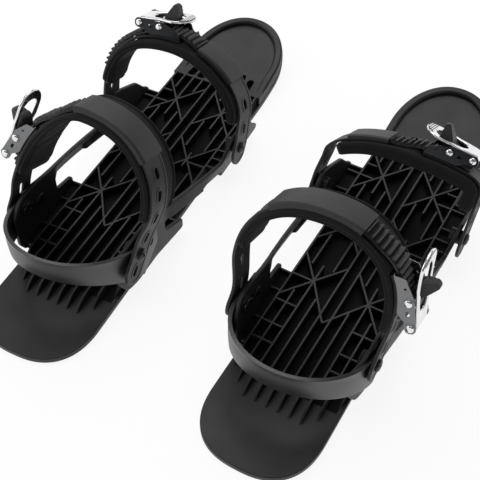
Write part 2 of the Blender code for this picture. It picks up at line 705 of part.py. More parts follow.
def pin_mesh(center, axis, reach):
    """Return a rivet pin across a buckle, with a dome head outside each cheek."""
    head = reach + GAP
    half = [(0.0, head + PIN_HEAD), (PIN_HEAD_RADIUS * 0.7, head + PIN_HEAD * 0.7),
            (PIN_HEAD_RADIUS, head), (PIN_RADIUS, head)]
    profile = half + [(radius, -height) for radius, height in reversed(half)]
    return turned(profile, center, axis)


# Straps

class Arch:
    """A strap's arch over one board, with the buckle on the +X or the -X side."""

    def __init__(self, shape, buckle_side):
        self.shape = shape
        self.buckle_side = buckle_side
        self.drops = {-1: shape.plain_drop, 1: shape.buckle_drop}
        self.runs = {
            -1: self.run(-1, shape.plain_half, shape.plain_shoulder, shape.plain_squareness),
            1: self.run(1, shape.buckle_half, shape.buckle_shoulder, shape.buckle_squareness),
        }

    def run(self, side, half, shoulder, squareness):
        """Return (length, x, h) from the crown down one side to the end of the lug."""
        shape = self.shape
        points = []
        for i in range(41):
            x, rise = superellipse(half, shape.top - shoulder, squareness,
                                   math.pi / 2 * (1 - i / 40))
            points.append((x, shoulder + rise))
        for i in range(1, 21):
            share = i / 20
            ease = share * share * (3 - 2 * share)
            h = shoulder + (LUG_FLAT - shoulder) * share
            points.append((half + (shape.lug_x - half) * ease, h))
        points.append((shape.lug_x, 0.0))
        points.append((shape.lug_x, -self.drops[side]))
        run, length = [], 0.0
        for i, (x, h) in enumerate(points):
            if i:
                length += math.hypot(x - points[i - 1][0], h - points[i - 1][1])
            run.append((length, x, h))
        return run

    def flat_point(self, s):
        """Return (x, h) of the arch at a signed length from its crown."""
        side = 1 if s >= 0 else -1
        run = self.runs[side]
        length = abs(s)
        for (l0, x0, h0), (l1, x1, h1) in zip(run, run[1:]):
            if length <= l1 or (l1, x1, h1) == run[-1]:
                share = (length - l0) / (l1 - l0)
                return Vector((side * (x0 + (x1 - x0) * share), h0 + (h1 - h0) * share))
        return Vector((side * run[-1][1], run[-1][2]))

    def lean(self, h):
        """Return the strap's angle above the horizontal, seen from the side."""
        shape = self.shape
        share = min(1.0, max(0.0, (h - shape.bend_start) / (shape.bend_end - shape.bend_start)))
        return math.radians(shape.low_lean + (shape.high_lean - shape.low_lean) * share)

    def side_point(self, h):
        """Return (y, z) at a height along the leaning strap, from the pivot."""
        steps = 24
        y, z = self.shape.pivot_y, self.shape.pivot_z
        for i in range(steps):
            angle = self.lean(h * (i + 0.5) / steps)
            y += math.cos(angle) * h / steps
            z += math.sin(angle) * h / steps
        return y, z

    def frame(self, s):
        """Return the arch's middle point, and its along, outward and width directions."""
        step = 0.5 * MM
        point = self.flat_point(s)
        run = (self.flat_point(s + step) - self.flat_point(s - step)).normalized()
        y, z = self.side_point(point.y)
        lean = self.lean(point.y)
        side = self.buckle_side
        rise = Vector((0, math.cos(lean), math.sin(lean)))
        across = Vector((side, 0, 0))
        center = across * point.x + Vector((0, y, z))
        along = across * run.x + rise * run.y
        outward = rise * run.x - across * run.y
        width = Vector((0, math.sin(lean), -math.cos(lean)))
        return center, along, outward, width

    def place(self, s, w, n):
        """Return the board-frame point at (s, w, n)."""
        center, _, outward, width = self.frame(s)
        return center + outward * n + width * w

    def pivot_length(self, side):
        """Return the signed length from the crown to the pivot of one side."""
        run = self.runs[side]
        return side * (run[-1][0] - self.drops[side])

    def end_length(self, side):
        """Return the signed length from the crown to the tip of the lug."""
        return side * self.runs[side][-1][0]

    def pivot(self):
        """Return the middle of the pivot axis."""
        return Vector((0, self.shape.pivot_y, self.shape.pivot_z))


def lay(arch, mesh, start, end, offset=None):
    """Bend a flat mesh with (x, y, z) = (s, w, n) onto the arch."""
    def place(corner):
        extra = offset(corner.x) if offset else 0.0
        return arch.place(corner.x, corner.y, corner.z + extra)

    return reshape(mesh, place, axis=0, stations=stations_between(start, end))


def side_strap_mesh(arch, side, end):
    """Return the slotted strap from one lug up to the length `end`."""
    lug, pivot = arch.end_length(side), arch.pivot_length(side)
    start, stop = sorted((lug, end))
    half = STRAP_WIDTH / 2
    if lug < end:
        outline = [(end, -half), (end, half)]
        center, turn = lug + half, math.pi / 2
    else:
        outline = [(end, half), (end, -half)]
        center, turn = lug - half, -math.pi / 2
    steps = 8
    for i in range(steps + 1):
        a = turn + math.pi * i / steps
        outline.append((center + half * math.cos(a), half * math.sin(a)))
    loops = [outline, circle(pivot, 0.0, SCREW_RADIUS + GAP)]
    for height in arch.shape.slots:
        middle = pivot - side * height
        if start + SLOT_LENGTH < middle < stop - SLOT_LENGTH:
            loops.append(round_ended(middle - SLOT_LENGTH / 2, middle + SLOT_LENGTH / 2, SLOT_WIDTH))
    return lay(arch, flat_mesh(loops, STRAP), start, stop)


def pad_mesh(arch):
    """Return the padded lining under the straps."""
    shape = arch.shape
    start = arch.pivot_length(-1) + shape.pad_plain_start
    end = arch.pivot_length(1) - shape.pad_buckle_start
    rear, front = -shape.pad_rear, shape.pad_front
    corner = 8 * MM
    outline = [(start + corner, rear), (end - corner, rear), (end, rear + corner), (end, front - corner),
               (end - corner, front), (start + corner, front), (start, front - corner),
               (start, rear + corner)]
    middle = -STRAP / 2 - PAD_GAP - shape.pad / 2
    return lay(arch, flat_mesh([outline], shape.pad), start, end, lambda s: middle)


def sleeve_mesh(arch):
    """Return the cover that holds the slotted strap and the ladder together."""
    shape = arch.shape
    length = shape.sleeve_end - shape.sleeve_start
    middle = (shape.sleeve_start + shape.sleeve_end) / 2
    inner = STRAP_WIDTH / 2 + GAP
    outer = inner + SLEEVE_WALL
    low = -STRAP / 2
    ceiling = STRAP / 2 + SLEEVE_ROOM + GAP
    top = ceiling + SLEEVE_WALL
    bevel = 1.2 * MM
    section = [(-inner, low), (-inner, ceiling), (inner, ceiling), (inner, low), (outer, low),
               (outer, top - bevel), (outer - bevel, top), (bevel - outer, top),
               (-outer, top - bevel), (-outer, low)]
    mesh = flat_mesh([section], length)
    stations = [s - middle for s in stations_between(shape.sleeve_start, shape.sleeve_end)]
    return reshape(mesh, lambda c: arch.place(c.z + middle, c.x, c.y), axis=2, stations=stations)


def ladder_mesh(arch):
    """Return the toothed strap from inside the sleeve to past the buckle."""
    shape = arch.shape
    start, end = shape.joint + GAP / 2, shape.ladder_end
    teeth_start = shape.joint + 8 * MM
    count = int((end - 4 * MM - teeth_start) / TOOTH_PITCH)
    outline = [(start, 0.0), (end, 0.0), (end, LADDER_BODY * 0.6), (end - 3 * MM, LADDER_BODY)]
    for i in range(count, 0, -1):
        root = teeth_start + i * TOOTH_PITCH
        outline += [(root - 0.6 * MM, LADDER_BODY), (root - 1.2 * MM, LADDER_BODY + TOOTH)]
    outline += [(teeth_start, LADDER_BODY), (start, LADDER_BODY)]
    mesh = flat_mesh([outline], LADDER_WIDTH)
    low, high = -STRAP / 2, STRAP / 2 + GAP + SHEET + GAP
    climb_end = shape.buckle_at - BUCKLE_FRONT - 1 * MM
    climb_start = max(shape.sleeve_end, climb_end - CLIMB)

    def place(corner):
        share = min(1.0, max(0.0, (corner.x - climb_start) / (climb_end - climb_start)))
        base = low + (high - low) * share * share * (3 - 2 * share)
        return arch.place(corner.x, corner.z, corner.y + base)

    stations = [teeth_start + i * TOOTH_PITCH for i in range(count + 1)]
    stations += stations_between(start, teeth_start)
    return reshape(mesh, place, axis=0, stations=stations)


# Ratchet buckle

class Buckle:
    """The frame of a buckle that sits on the arch."""

    def __init__(self, arch):
        self.arch = arch
        self.at = arch.shape.buckle_at
        self.center, along, self.outward, self.width = arch.frame(self.at)
        self.toward_crown = -along

    def place(self, t, n, w=0.0):
        """Return the board-frame point at (t, n, w)."""
        return self.center + self.toward_crown * t + self.outward * n + self.width * w

    def local(self, point):
        """Return (t, n) of a board-frame point."""
        run = point - self.center
        return run.dot(self.toward_crown), run.dot(self.outward)

    def profile_piece(self, loops, width, middle=0.0):
        """Return a body of an outline in (t, n), extruded across the buckle."""
        return reshape(flat_mesh(loops, width), lambda c: self.place(c.x, c.y, c.z + middle))


def buckle_plate_mesh(buckle):
    """Return the buckle's sheet-metal body: a base on the strap and two cheeks with pin holes."""
    arch = buckle.arch
    half = CHEEK_ROOM + SHEET * 0.7
    low = STRAP / 2 + GAP
    start, end = buckle.at - BUCKLE_FRONT, buckle.at + BASE_REAR
    base = flat_mesh([[(start, -half), (end, -half), (end, half), (start, half)]], SHEET)
    base = lay(arch, base, start, end, lambda s: low + SHEET / 2)
    bottom = []
    for i in range(6):
        s = start + LAP + (end - start - 2 * LAP) * i / 5
        bottom.append(buckle.local(arch.place(s, 0.0, low + SHEET * 0.4)))
    outline = bottom + [(-18 * MM, 5.5 * MM), (-23 * MM, 5.5 * MM), (-26.5 * MM, 8 * MM),
                        (-26.5 * MM, 12 * MM), (-23 * MM, 14 * MM), (-3 * MM, 13.4 * MM),
                        (6 * MM, 11.5 * MM), (14 * MM, 8 * MM)]
    hole = PIN_RADIUS + GAP
    cheeks = []
    for side in (-1, 1):
        loops = [outline, circle(*PAWL_PIN, hole), circle(*LEVER_PIN, hole)]
        cheeks.append(buckle.profile_piece(loops, SHEET, side * (CHEEK_ROOM + SHEET / 2)))
    return combined(base, cheeks)


def lever_route(shape, share):
    """Return (t, n) on the lever's middle line, a Bezier curve from its pin to its tip."""
    spread = (1 - share) ** 3, 3 * share * (1 - share) ** 2, 3 * share ** 2 * (1 - share), share ** 3
    start, height = LEVER_START
    run = shape.lever_reach - start
    ts = (start, start + run / 3, start + run * 2 / 3, shape.lever_reach)
    ns = (height, *LEVER_CREST, shape.lever_rise)
    return Vector((sum(a * b for a, b in zip(spread, ts)), sum(a * b for a, b in zip(spread, ns))))


def lever_mesh(buckle):
    """Return the ring lever: a knuckle on its pin and a curved plate with an oval hole."""
    count = 40
    points = [lever_route(buckle.arch.shape, i / count) for i in range(count + 1)]
    lengths = [0.0]
    for i in range(count):
        lengths.append(lengths[-1] + (points[i + 1] - points[i]).length)
    total = lengths[-1]
    half = LEVER_WIDTH / 2
    outline = [(0.0, -half * 0.8), (12 * MM, -half), (total - 16 * MM, -half)]
    for i in range(7):
        a = -math.pi / 2 + math.pi * i / 6
        outline.append((total - 12 * MM + 12 * MM * math.cos(a), half * math.sin(a)))
    outline += [(total - 16 * MM, half), (12 * MM, half), (0.0, half * 0.8)]
    hole = round_ended(LEVER_HOLE_START, total - LEVER_HOLE_MARGIN, LEVER_HOLE_WIDTH, steps=4)
    sheet = flat_mesh([outline, hole], LEVER_SHEET)

    def place(corner):
        length = min(total, max(0.0, corner.x))
        i = min(count - 1, max(j for j in range(count) if lengths[j] <= length))
        share = (length - lengths[i]) / (lengths[i + 1] - lengths[i])
        middle = points[i].lerp(points[i + 1], share)
        before, after = points[max(0, i - 1)], points[min(count, i + 2)]
        run = (after - before).normalized()
        up = Vector((-run.y, run.x))
        spot = middle + up * corner.z
        return buckle.place(spot.x, spot.y, corner.y)

    sheet = reshape(sheet, place, axis=0, stations=stations_between(0.0, total, 6 * MM))
    ring = [circle(*LEVER_PIN, KNUCKLE_RADIUS, 12), circle(*LEVER_PIN, PIN_RADIUS + GAP)]
    knuckle = buckle.profile_piece(ring, LEVER_WIDTH)
    return combined(sheet, [knuckle])


def pawl_mesh(buckle):
    """Return the release tab, whose tail holds the ladder's teeth."""
    tail = STRAP / 2 + GAP + SHEET + GAP + LADDER_BODY + TOOTH + 0.2 * MM
    outline = [(-9.5 * MM, tail), (-6.5 * MM, tail), (0.5 * MM, 6.9 * MM), (3 * MM, 9.5 * MM),
               (8 * MM, 14 * MM), (9.8 * MM, 20 * MM), (9.4 * MM, 25.4 * MM), (7.2 * MM, 27.6 * MM),
               (4.4 * MM, 26 * MM), (0.6 * MM, 20 * MM), (-3.6 * MM, 12.5 * MM), (-6.4 * MM, 10 * MM)]
    loops = [outline, circle(*PAWL_PIN, PIN_RADIUS + GAP)]
    return buckle.profile_piece(loops, PAWL_WIDTH)


# Assembly

def add_piece(name, mesh, look, board, collection, origin=(0.0, 0.0, 0.0)):
    """Link a board-frame mesh as a named piece with its origin at the given point."""
    origin = Vector(origin)
    piece = bpy.data.objects.new(name, mesh)
    collection.objects.link(piece)
    mesh.transform(Matrix.Translation(-origin))
    mesh.name = name
    mesh.materials.clear()
    mesh.materials.append(material(look))
    mesh.shade_smooth()
    mesh.set_sharp_from_angle(angle=math.radians(35))
    piece.parent = board
    piece.location = origin
    return piece


def build_strap(board, collection, side_name, label, arch, nuts):
    """Add one strap's pieces to a board."""
    shape = arch.shape
    pivot = arch.pivot()
    prefix = f"{side_name}_{label}"

    def add(piece, mesh, look, origin=pivot):
        add_piece(f"{prefix}_{piece}", mesh, look, board, collection, origin)

    buckle = Buckle(arch)
    add("slotted_strap", side_strap_mesh(arch, -1, shape.joint - GAP / 2), SOFT_PLASTIC)
    add("buckle_strap", side_strap_mesh(arch, 1, shape.buckle_at - BUCKLE_FRONT + 1 * MM), SOFT_PLASTIC)
    add("pad", pad_mesh(arch), PAD_FABRIC)
    add("sleeve", sleeve_mesh(arch), SOFT_PLASTIC)
    add("ladder_strap", ladder_mesh(arch), SOFT_PLASTIC)
    add("buckle_plate", buckle_plate_mesh(buckle), STEEL)
    lever_axis = buckle.place(*LEVER_PIN)
    pawl_axis = buckle.place(*PAWL_PIN)
    reach = CHEEK_ROOM + SHEET
    add("lever_pin", pin_mesh(lever_axis, buckle.width, reach), CHROME)
    add("pawl_pin", pin_mesh(pawl_axis, buckle.width, reach), CHROME)
    add("lever", lever_mesh(buckle), CHROME, lever_axis)
    add("release_pawl", pawl_mesh(buckle), BLACK_PLASTIC, pawl_axis)
    outer = shape.lug_x + STRAP / 2 + GAP
    for side, which in ((-arch.buckle_side, "plain"), (arch.buckle_side, "buckle")):
        center = (side * outer, shape.pivot_y, shape.pivot_z)
        if nuts:
            length = outer - (nut_seat_x() - GAP - NUT_FLANGE)
        else:
            length = outer - (shape.lug_x - STRAP / 2 - TOE_SCREW_DEPTH)
        screw = screw_mesh(center, (side, 0, 0), length, SCREW_HEAD_RADIUS, SCREW_HEAD)
        add(f"{which}_side_screw", screw, STEEL)
        if nuts:
            seat = (side * (nut_seat_x() - GAP), shape.pivot_y, shape.pivot_z)
            add(f"{which}_side_nut", nut_mesh(seat, (side, 0, 0)), STEEL)


def build_board(side_name, collection, deck, ankle_shape, toe_shape, buckle_side):
    """Add one board's pieces under an empty."""
    board = bpy.data.objects.new(f"{side_name}_board", None)
    collection.objects.link(board)
    add_piece(f"{side_name}_deck", deck, BLACK_PLASTIC, board, collection)
    add_piece(f"{side_name}_heel_loop", heel_loop_mesh(), SOFT_PLASTIC, board, collection)
    outer = WAIST_X + GAP + LOOP_THICKNESS + GAP
    inner = WAIST_X - WALL
    for side, which in ((-buckle_side, "inner"), (buckle_side, "outer")):
        center = (side * inner - side * GAP, *LOOP_SCREW)
        screw = screw_mesh(center, (-side, 0, 0), outer - inner, SCREW_HEAD_RADIUS, LOOP_SCREW_HEAD)
        add_piece(f"{side_name}_heel_loop_{which}_screw", screw, STEEL, board, collection)
    build_strap(board, collection, side_name, "ankle", Arch(ankle_shape, buckle_side), nuts=True)
    build_strap(board, collection, side_name, "toe", Arch(toe_shape, buckle_side), nuts=False)
    return board


def center_pair(boards, collection):
    """Move the boards so that the pair's box has its bottom middle at the origin."""
    bpy.context.view_layer.update()
    corners = [piece.matrix_world @ corner.co for piece in collection.objects
               if piece.type == "MESH" for corner in piece.data.vertices]
    shift_x = -(min(c.x for c in corners) + max(c.x for c in corners)) / 2
    shift_y = -(min(c.y for c in corners) + max(c.y for c in corners)) / 2
    for board in boards:
        board.location += Vector((shift_x, shift_y, 0.0))
    bpy.context.view_layer.update()


def main():
    clear_scene()
    collection = bpy.data.collections.new("skiboards")
    bpy.context.scene.collection.children.link(collection)
    deck = deck_mesh()
    left = build_board("left", collection, deck.copy(), LEFT_ANKLE, LEFT_TOE, buckle_side=-1)
    right = build_board("right", collection, deck, RIGHT_ANKLE, RIGHT_TOE, buckle_side=1)
    left.location = (-BOARD_SPACING / 2, STAGGER / 2, 0.0)
    right.location = (BOARD_SPACING / 2, -STAGGER / 2, 0.0)
    left.rotation_euler = (0.0, 0.0, SPLAY)
    right.rotation_euler = (0.0, 0.0, -SPLAY)
    center_pair((left, right), collection)


if __name__ == "__main__":
    main()
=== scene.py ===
"""Looks of a pair of skiboards: finely rounded mouldings, sewn pads, chromed ratchets and a studio stage."""

import json
import math
from collections import namedtuple

import bmesh
import bpy
from bpy.props import FloatProperty, FloatVectorProperty, IntProperty, PointerProperty
from mathutils import Matrix, Vector


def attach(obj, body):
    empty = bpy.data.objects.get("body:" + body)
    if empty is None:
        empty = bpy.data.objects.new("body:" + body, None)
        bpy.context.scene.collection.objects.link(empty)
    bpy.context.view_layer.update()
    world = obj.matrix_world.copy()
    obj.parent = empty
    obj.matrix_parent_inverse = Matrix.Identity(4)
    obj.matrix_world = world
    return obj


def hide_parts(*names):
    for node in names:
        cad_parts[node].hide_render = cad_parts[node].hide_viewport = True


bl_info = {
    "name": "Skiboard Pair",
    "version": (1, 0, 0),
    "blender": (4, 5, 0),
    "location": "View3D > Sidebar > Skiboards",
    "description": "Builds the visible surfaces of a pair of skiboards around their packed frame",
    "category": "Add Mesh",
}

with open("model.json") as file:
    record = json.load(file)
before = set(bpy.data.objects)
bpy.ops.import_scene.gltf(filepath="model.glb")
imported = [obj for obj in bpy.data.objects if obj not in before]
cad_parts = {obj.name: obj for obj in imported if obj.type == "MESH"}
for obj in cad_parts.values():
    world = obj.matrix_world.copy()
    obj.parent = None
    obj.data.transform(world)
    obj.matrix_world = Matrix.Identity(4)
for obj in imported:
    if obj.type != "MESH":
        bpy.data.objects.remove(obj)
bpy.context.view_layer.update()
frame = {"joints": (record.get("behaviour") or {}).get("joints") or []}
HINGES = {joint["name"]: joint for joint in frame["joints"]}
MM = 0.001
GAP = 0.3 * MM
WELD = 0.01 * MM
LAP = 0.5 * MM
UP = Vector((0, 0, 1))


def points(*rows):
    """Return rows of numbers, given in millimetres, in metres."""
    return tuple(tuple(value * MM for value in row) for row in rows)


BUCKLE_SIDE = {"left": -1, "right": 1}

# Deck
PLATE_WIDTH = 93 * MM
PLATE_TOP = 5.2 * MM
TAIL_END = -213 * MM
TAIL_ROUND = 50 * MM
TAIL_SQUARENESS = 2.5
TIP_END = 215.5 * MM
TIP_ROUND = 60 * MM
TIP_SQUARENESS = 2.1
OUTLINE_STEPS = 30
TIP_START = 120 * MM
TIP_LIFT = 24 * MM
TIP_TOP = 28 * MM
RIM_WIDTH = 9 * MM
RIM_HEIGHT = 2.5 * MM
RIM_BAR = 6 * MM
RIB_TOP = 14.5 * MM
RIB = 1.8 * MM
LINE_PITCH = 9.46 * MM
SIDE_X = 4.5 * LINE_PITCH
RIB_REAR = -162 * MM
GRID_FRONT = 122 * MM
STAR_X = 23.65 * MM
STAR_ROWS = (86.5 * MM, 20 * MM, -46.5 * MM)
STAR_REACH = 24.6 * MM
VEE_END = -80 * MM
FADE = 22 * MM
TIP_SLOTS = points((14.2, 23, 147), (25, 33, 143))
WING_BOTTOM = 8 * MM
WING_FLOOR = 2 * MM
WALL = 3.5 * MM
REAR_WALL_X = 56 * MM
FRONT_WALL_X = 58 * MM
FRONT_FLARE = 0.15
WAIST_X = 52.6 * MM
REAR_WING = (-126 * MM, -46 * MM)
FRONT_WING = (19 * MM, 90 * MM)
WAIST_END = -84 * MM
WAIST_START = -50 * MM
REAR_WALL_FRONT = -70 * MM
RAIL_DEPTH = 11.5 * MM
RAIL_FLARE = 3 * MM
WALL_REAR = -134 * MM
WALL_TOP = ((WALL_REAR, 50 * MM), *points(
    (-126, 54), (-116, 57), (-108, 58), (-99, 58), (-84, 55), (-70, 51), (-50, 46), (19, 27),
    (30, 38), (40, 43), (52, 39), (74, 30), (84, 18), (90, 14.5)))
GUSSET_TOP = points((-70, 26), (-46, 18))
TOE_BOSS_RADIUS = 6 * MM
TOE_SCREW_DEPTH = 8 * MM
NUT_SEAT_X = WAIST_X - WALL - 2.2 * MM
CELL_X = 42.8 * MM
CELL_REAR = -141 * MM
# Share of the deck colour kept where painted shade stands in for the dark deep cells
CELL_PAINTED_SHADE = 0.65

# Heel loop
LOOP_THICKNESS = 2.6 * MM
LOOP_FRONT = -86 * MM
LOOP_BEND = -108 * MM
LOOP_REAR = -167 * MM
LOOP_SQUARENESS = 2.05
LOOP_SIDE = (13 * MM, 49 * MM)
LOOP_BACK = (47 * MM, 68 * MM)
LOOP_FRONT_LOW = 31 * MM
LOOP_SCREW = (-95 * MM, 39 * MM)
LOOP_FLAT_HEIGHT = 30 * MM
LOOP_LIP = 0.45 * MM
LOOP_BELLY = 0.5 * MM

# Fasteners
SCREW_RADIUS = 2.4 * MM
SCREW_HEAD_RADIUS = 5 * MM
SCREW_HEAD = 2.4 * MM
LOOP_SCREW_HEAD = 1.8 * MM
CROSS_REACH = 3.2 * MM
CROSS_WIDTH = 1.3 * MM
CROSS_TURN = 0.4
ANKLE_BOSS_RADIUS = 4.2 * MM
NUT_FLANGE_RADIUS = 6.5 * MM
NUT_FLANGE = 1.6 * MM
NUT_TEETH = 24
NUT_NOTCH = 0.55 * MM

# Straps
STRAP_WIDTH = 24.5 * MM
STRAP = 2.4 * MM
PAD_GAP = 0.6 * MM
PAD_EASE = 0.6 * MM
PAD_ROUND = 9 * MM
PAD_PROUD = {"ankle": -1 * MM, "toe": 0.6 * MM}
PIPING = 1.7 * MM
PIPING_INSET = 2.2 * MM
SEAM_INSET = 3.6 * MM
STUFFING_FRAMES = 20
STUFFING_PRESSURE = 4
UNDER_STRAP_SWELL = 0.3 * MM
SLEEVE_WALL = 1.3 * MM
SLEEVE_ROOM = 1.2 * MM
LADDER_WIDTH = 21 * MM
LADDER_BODY = 1.8 * MM
TOOTH = 1.6 * MM
OPEN_TOOTH = 0.6 * MM
TOOTH_PITCH = 4.8 * MM
CLIMB = 20 * MM
LUG_FLAT = 7 * MM
SLOT_LENGTH = 9 * MM
SLOT_WIDTH = 4.6 * MM

# Ratchet, measured from its middle: t toward the crown, n outward
SHEET = 1 * MM
CHEEK_ROOM = STRAP_WIDTH / 2 + 0.25 * MM
BUCKLE_FRONT = 17 * MM
BASE_REAR = 12 * MM
PIN_RADIUS = 1.6 * MM
PIN_HEAD_RADIUS = 2.9 * MM
PIN_HEAD = 1.5 * MM
PAWL_PIN = (-3 * MM, 9.3 * MM)
LEVER_PIN = (-22 * MM, 10 * MM)
KNUCKLE_RADIUS = 3.4 * MM
CHEEK_TOP = points((-18, 5.5), (-23, 5.5), (-25.6, 6.6), (-26.5, 8.6), (-26.3, 11.6), (-24.6, 13.5), (-22, 14),
                   (-3, 13.4), (2, 12.8), (6, 11.5), (14, 8))
LEVER_WIDTH = 23.6 * MM
LEVER_BAR = 2.5 * MM
RING_WIDTH = 28 * MM
RING_ROUND = 14 * MM
RING_HOLE_WIDTH = 20.5 * MM
LEVER_START = (-24 * MM, 12.6 * MM)
LEVER_CREST = (14.6 * MM, 15.4 * MM)
LEVER_HOLE_START = 11 * MM
LEVER_HOLE_MARGIN = 8.5 * MM
LEVER_HOLE_WIDTH = 16.5 * MM
PAWL_WIDTH = 11 * MM
GRIP_START = 1.2 * MM
GRIP_PITCH = 1.7 * MM
SPRING_ENDS = (5.4 * MM, 11.4 * MM)
SPRING_RADIUS = 2.3 * MM
SPRING_WIRE = 0.4 * MM
SPRING_TURNS = 6

# Stage
KEY_SPOT, KEY_SIZE = (-0.5, 0.9, 1.6), 1.6
FILL_SPOT, FILL_SIZE = (-1.2, -0.6, 0.9), 0.9
LAMP_TARGET = Vector((0, 0, 0.05))
FLOOR_DROP = 0.2 * MM
FLOOR_GLOW = 0.88
FLOOR_SHADE = 0.16
ROOM_BANDS = ((0.26, 1.0), (0.38, 0.1), (0.82, 0.18))

# Shape of each strap: lengths in metres, leans in degrees above the horizontal
StrapShape = namedtuple("StrapShape", (
    "pivot_y", "pivot_z", "lug_x", "plain_drop", "buckle_drop",
    "low_lean", "high_lean", "bend_start", "bend_end", "top",
    "plain_half", "plain_shoulder", "plain_squareness",
    "buckle_half", "buckle_shoulder", "buckle_squareness",
    "pad_plain_start", "pad_buckle_start", "pad_front", "pad_rear", "pad",
    "sleeve_start", "sleeve_end", "joint", "buckle_at", "ladder_end", "lever_reach", "lever_rise", "slots",
))

ANKLE = StrapShape(
    pivot_y=-114 * MM, pivot_z=45.5 * MM, lug_x=57 * MM, plain_drop=13 * MM, buckle_drop=13 * MM,
    low_lean=45, high_lean=72, bend_start=0, bend_end=40 * MM, top=102 * MM,
    plain_half=63.5 * MM, plain_shoulder=42 * MM, plain_squareness=2.2,
    buckle_half=59 * MM, buckle_shoulder=42 * MM, buckle_squareness=2.2,
    pad_plain_start=27 * MM, pad_buckle_start=27 * MM,
    pad_front=26 * MM, pad_rear=15 * MM, pad=5.5 * MM,
    sleeve_start=-61 * MM, sleeve_end=6 * MM, joint=-20 * MM,
    buckle_at=74 * MM, ladder_end=93 * MM, lever_reach=32 * MM, lever_rise=22 * MM,
    slots=(-14 * MM, 14 * MM, 32 * MM, 52 * MM, 70 * MM),
)
TOE = StrapShape(
    pivot_y=40 * MM, pivot_z=30 * MM, lug_x=66 * MM, plain_drop=16 * MM, buckle_drop=16 * MM,
    low_lean=55, high_lean=71.5, bend_start=-8 * MM, bend_end=12 * MM, top=81 * MM,
    plain_half=65.5 * MM, plain_shoulder=30 * MM, plain_squareness=1.8,
    buckle_half=66.5 * MM, buckle_shoulder=17 * MM, buckle_squareness=2.44,
    pad_plain_start=24 * MM, pad_buckle_start=24 * MM,
    pad_front=13 * MM, pad_rear=22 * MM, pad=7 * MM,
    sleeve_start=-58 * MM, sleeve_end=-20 * MM, joint=-38 * MM,
    buckle_at=14 * MM, ladder_end=90 * MM, lever_reach=23 * MM, lever_rise=16 * MM,
    slots=(18 * MM, 40 * MM),
)
STRAPS = {
    ("left", "ankle"): ANKLE._replace(
        plain_drop=26 * MM, top=104.4 * MM,
        buckle_half=58.5 * MM, buckle_shoulder=21.8 * MM, buckle_squareness=1.64,
        pad_buckle_start=31 * MM, pad_front=30 * MM, buckle_at=65 * MM),
    ("right", "ankle"): ANKLE._replace(
        pad_plain_start=48 * MM, sleeve_start=-46 * MM, sleeve_end=24 * MM, joint=-10 * MM),
    ("left", "toe"): TOE,
    ("right", "toe"): TOE._replace(
        low_lean=46, high_lean=62.5, bend_end=14 * MM, top=57 * MM,
        plain_half=63 * MM, plain_shoulder=31.5 * MM, plain_squareness=1.75,
        buckle_shoulder=39.5 * MM, buckle_squareness=3.5,
        pad_plain_start=42 * MM, pad_rear=20 * MM, pad=10 * MM,
        sleeve_start=-48 * MM, sleeve_end=-14 * MM, joint=-30 * MM,
        buckle_at=31 * MM, ladder_end=53 * MM, lever_rise=20 * MM, slots=(18 * MM, 34 * MM)),
}


# Properties

def length(name, description, default):
    """Return a length property in metres."""
    return FloatProperty(name=name, description=description, default=default, min=0.0, unit="LENGTH", precision=5)


def colour(name, description, default):
    """Return a linear colour property."""
    return FloatVectorProperty(name=name, description=description, default=default, size=3, min=0.0, max=1.0,
                               subtype="COLOR")


class SkiboardSizes(bpy.types.PropertyGroup):
    """Small sizes that only the visible surfaces have."""

    deck_edge: length("Deck edge rounding", "Radius on the deck's ribs, rims and walls", 0.35 * MM)
    strap_edge: length("Strap edge rounding", "Radius on the straps' and heel loops' edges", 0.7 * MM)
    strap_border: length("Strap border", "Width of the raised border along a strap", 1.7 * MM)
    strap_recess: length("Strap recess", "Depth of the strap's middle below its border", 0.4 * MM)
    pad_seam: length("Pad seam depth", "Depth of the sewn seam around a pad's rim", 0.9 * MM)
    pad_swell: length("Pad swell", "How far the stuffing may push a pad's cloth out", 1.1 * MM)
    thread: length("Thread pitch", "Distance between threads of the pads' cloth", 0.9 * MM)
    lever_ribs: IntProperty(name="Lever ribs", description="Grip ribs across each lever's tip", default=4, min=0)


class SkiboardColours(bpy.types.PropertyGroup):
    """Base colours of the finishes."""

    deck: colour("Deck plastic", "Moulded nylon of the decks", (0.0065, 0.0065, 0.007))
    strap: colour("Strap plastic", "Softer plastic of straps, sleeves and heel loops", (0.012, 0.012, 0.013))
    cloth: colour("Pad cloth", "Cloth over the pads' foam", (0.0035, 0.0035, 0.0038))
    steel: colour("Satin steel", "Plated sheet steel of the ankle ratchets", (0.20, 0.205, 0.21))
    # This colour also paints groove shade between the levers' grip ribs.
    dark_steel: colour("Dark steel", "Blackened sheet steel of the toe ratchets", (0.030, 0.031, 0.033))
    chrome: colour("Chrome", "Levers and pins", (0.80, 0.80, 0.82))
    screw: colour("Blackened screw", "Oxide finish of screws and nuts", (0.045, 0.045, 0.048))
    floor: colour("Floor", "Studio floor and backdrop", (0.85, 0.85, 0.85))


class SkiboardStage(bpy.types.PropertyGroup):
    """Camera and lamps."""

    focal: FloatProperty(name="Focal length", description="Lens of the camera, in millimetres", default=70.41)
    camera_x: length("Camera X", "Camera's place across", 0.2379)
    camera_back: length("Camera back", "Camera's distance behind the origin", 0.4824)
    camera_height: length("Camera height", "Camera's height above the floor", 0.6016)
    heading: FloatProperty(name="Heading", description="Turn of the view from +Y toward -X",
                           default=math.radians(27.92), subtype="ANGLE")
    pitch: FloatProperty(name="Pitch", description="Tilt of the view below the horizon",
                         default=math.radians(49.517), subtype="ANGLE")
    roll: FloatProperty(name="Roll", description="Turn of the picture", default=math.radians(0.223),
                        subtype="ANGLE")
    key_power: FloatProperty(name="Key lamp", description="Power of the large overhead lamp in watts", default=16.0)
    fill_power: FloatProperty(name="Fill lamp", description="Power of the low rear lamp in watts", default=5.0)


# Board and strap geometry

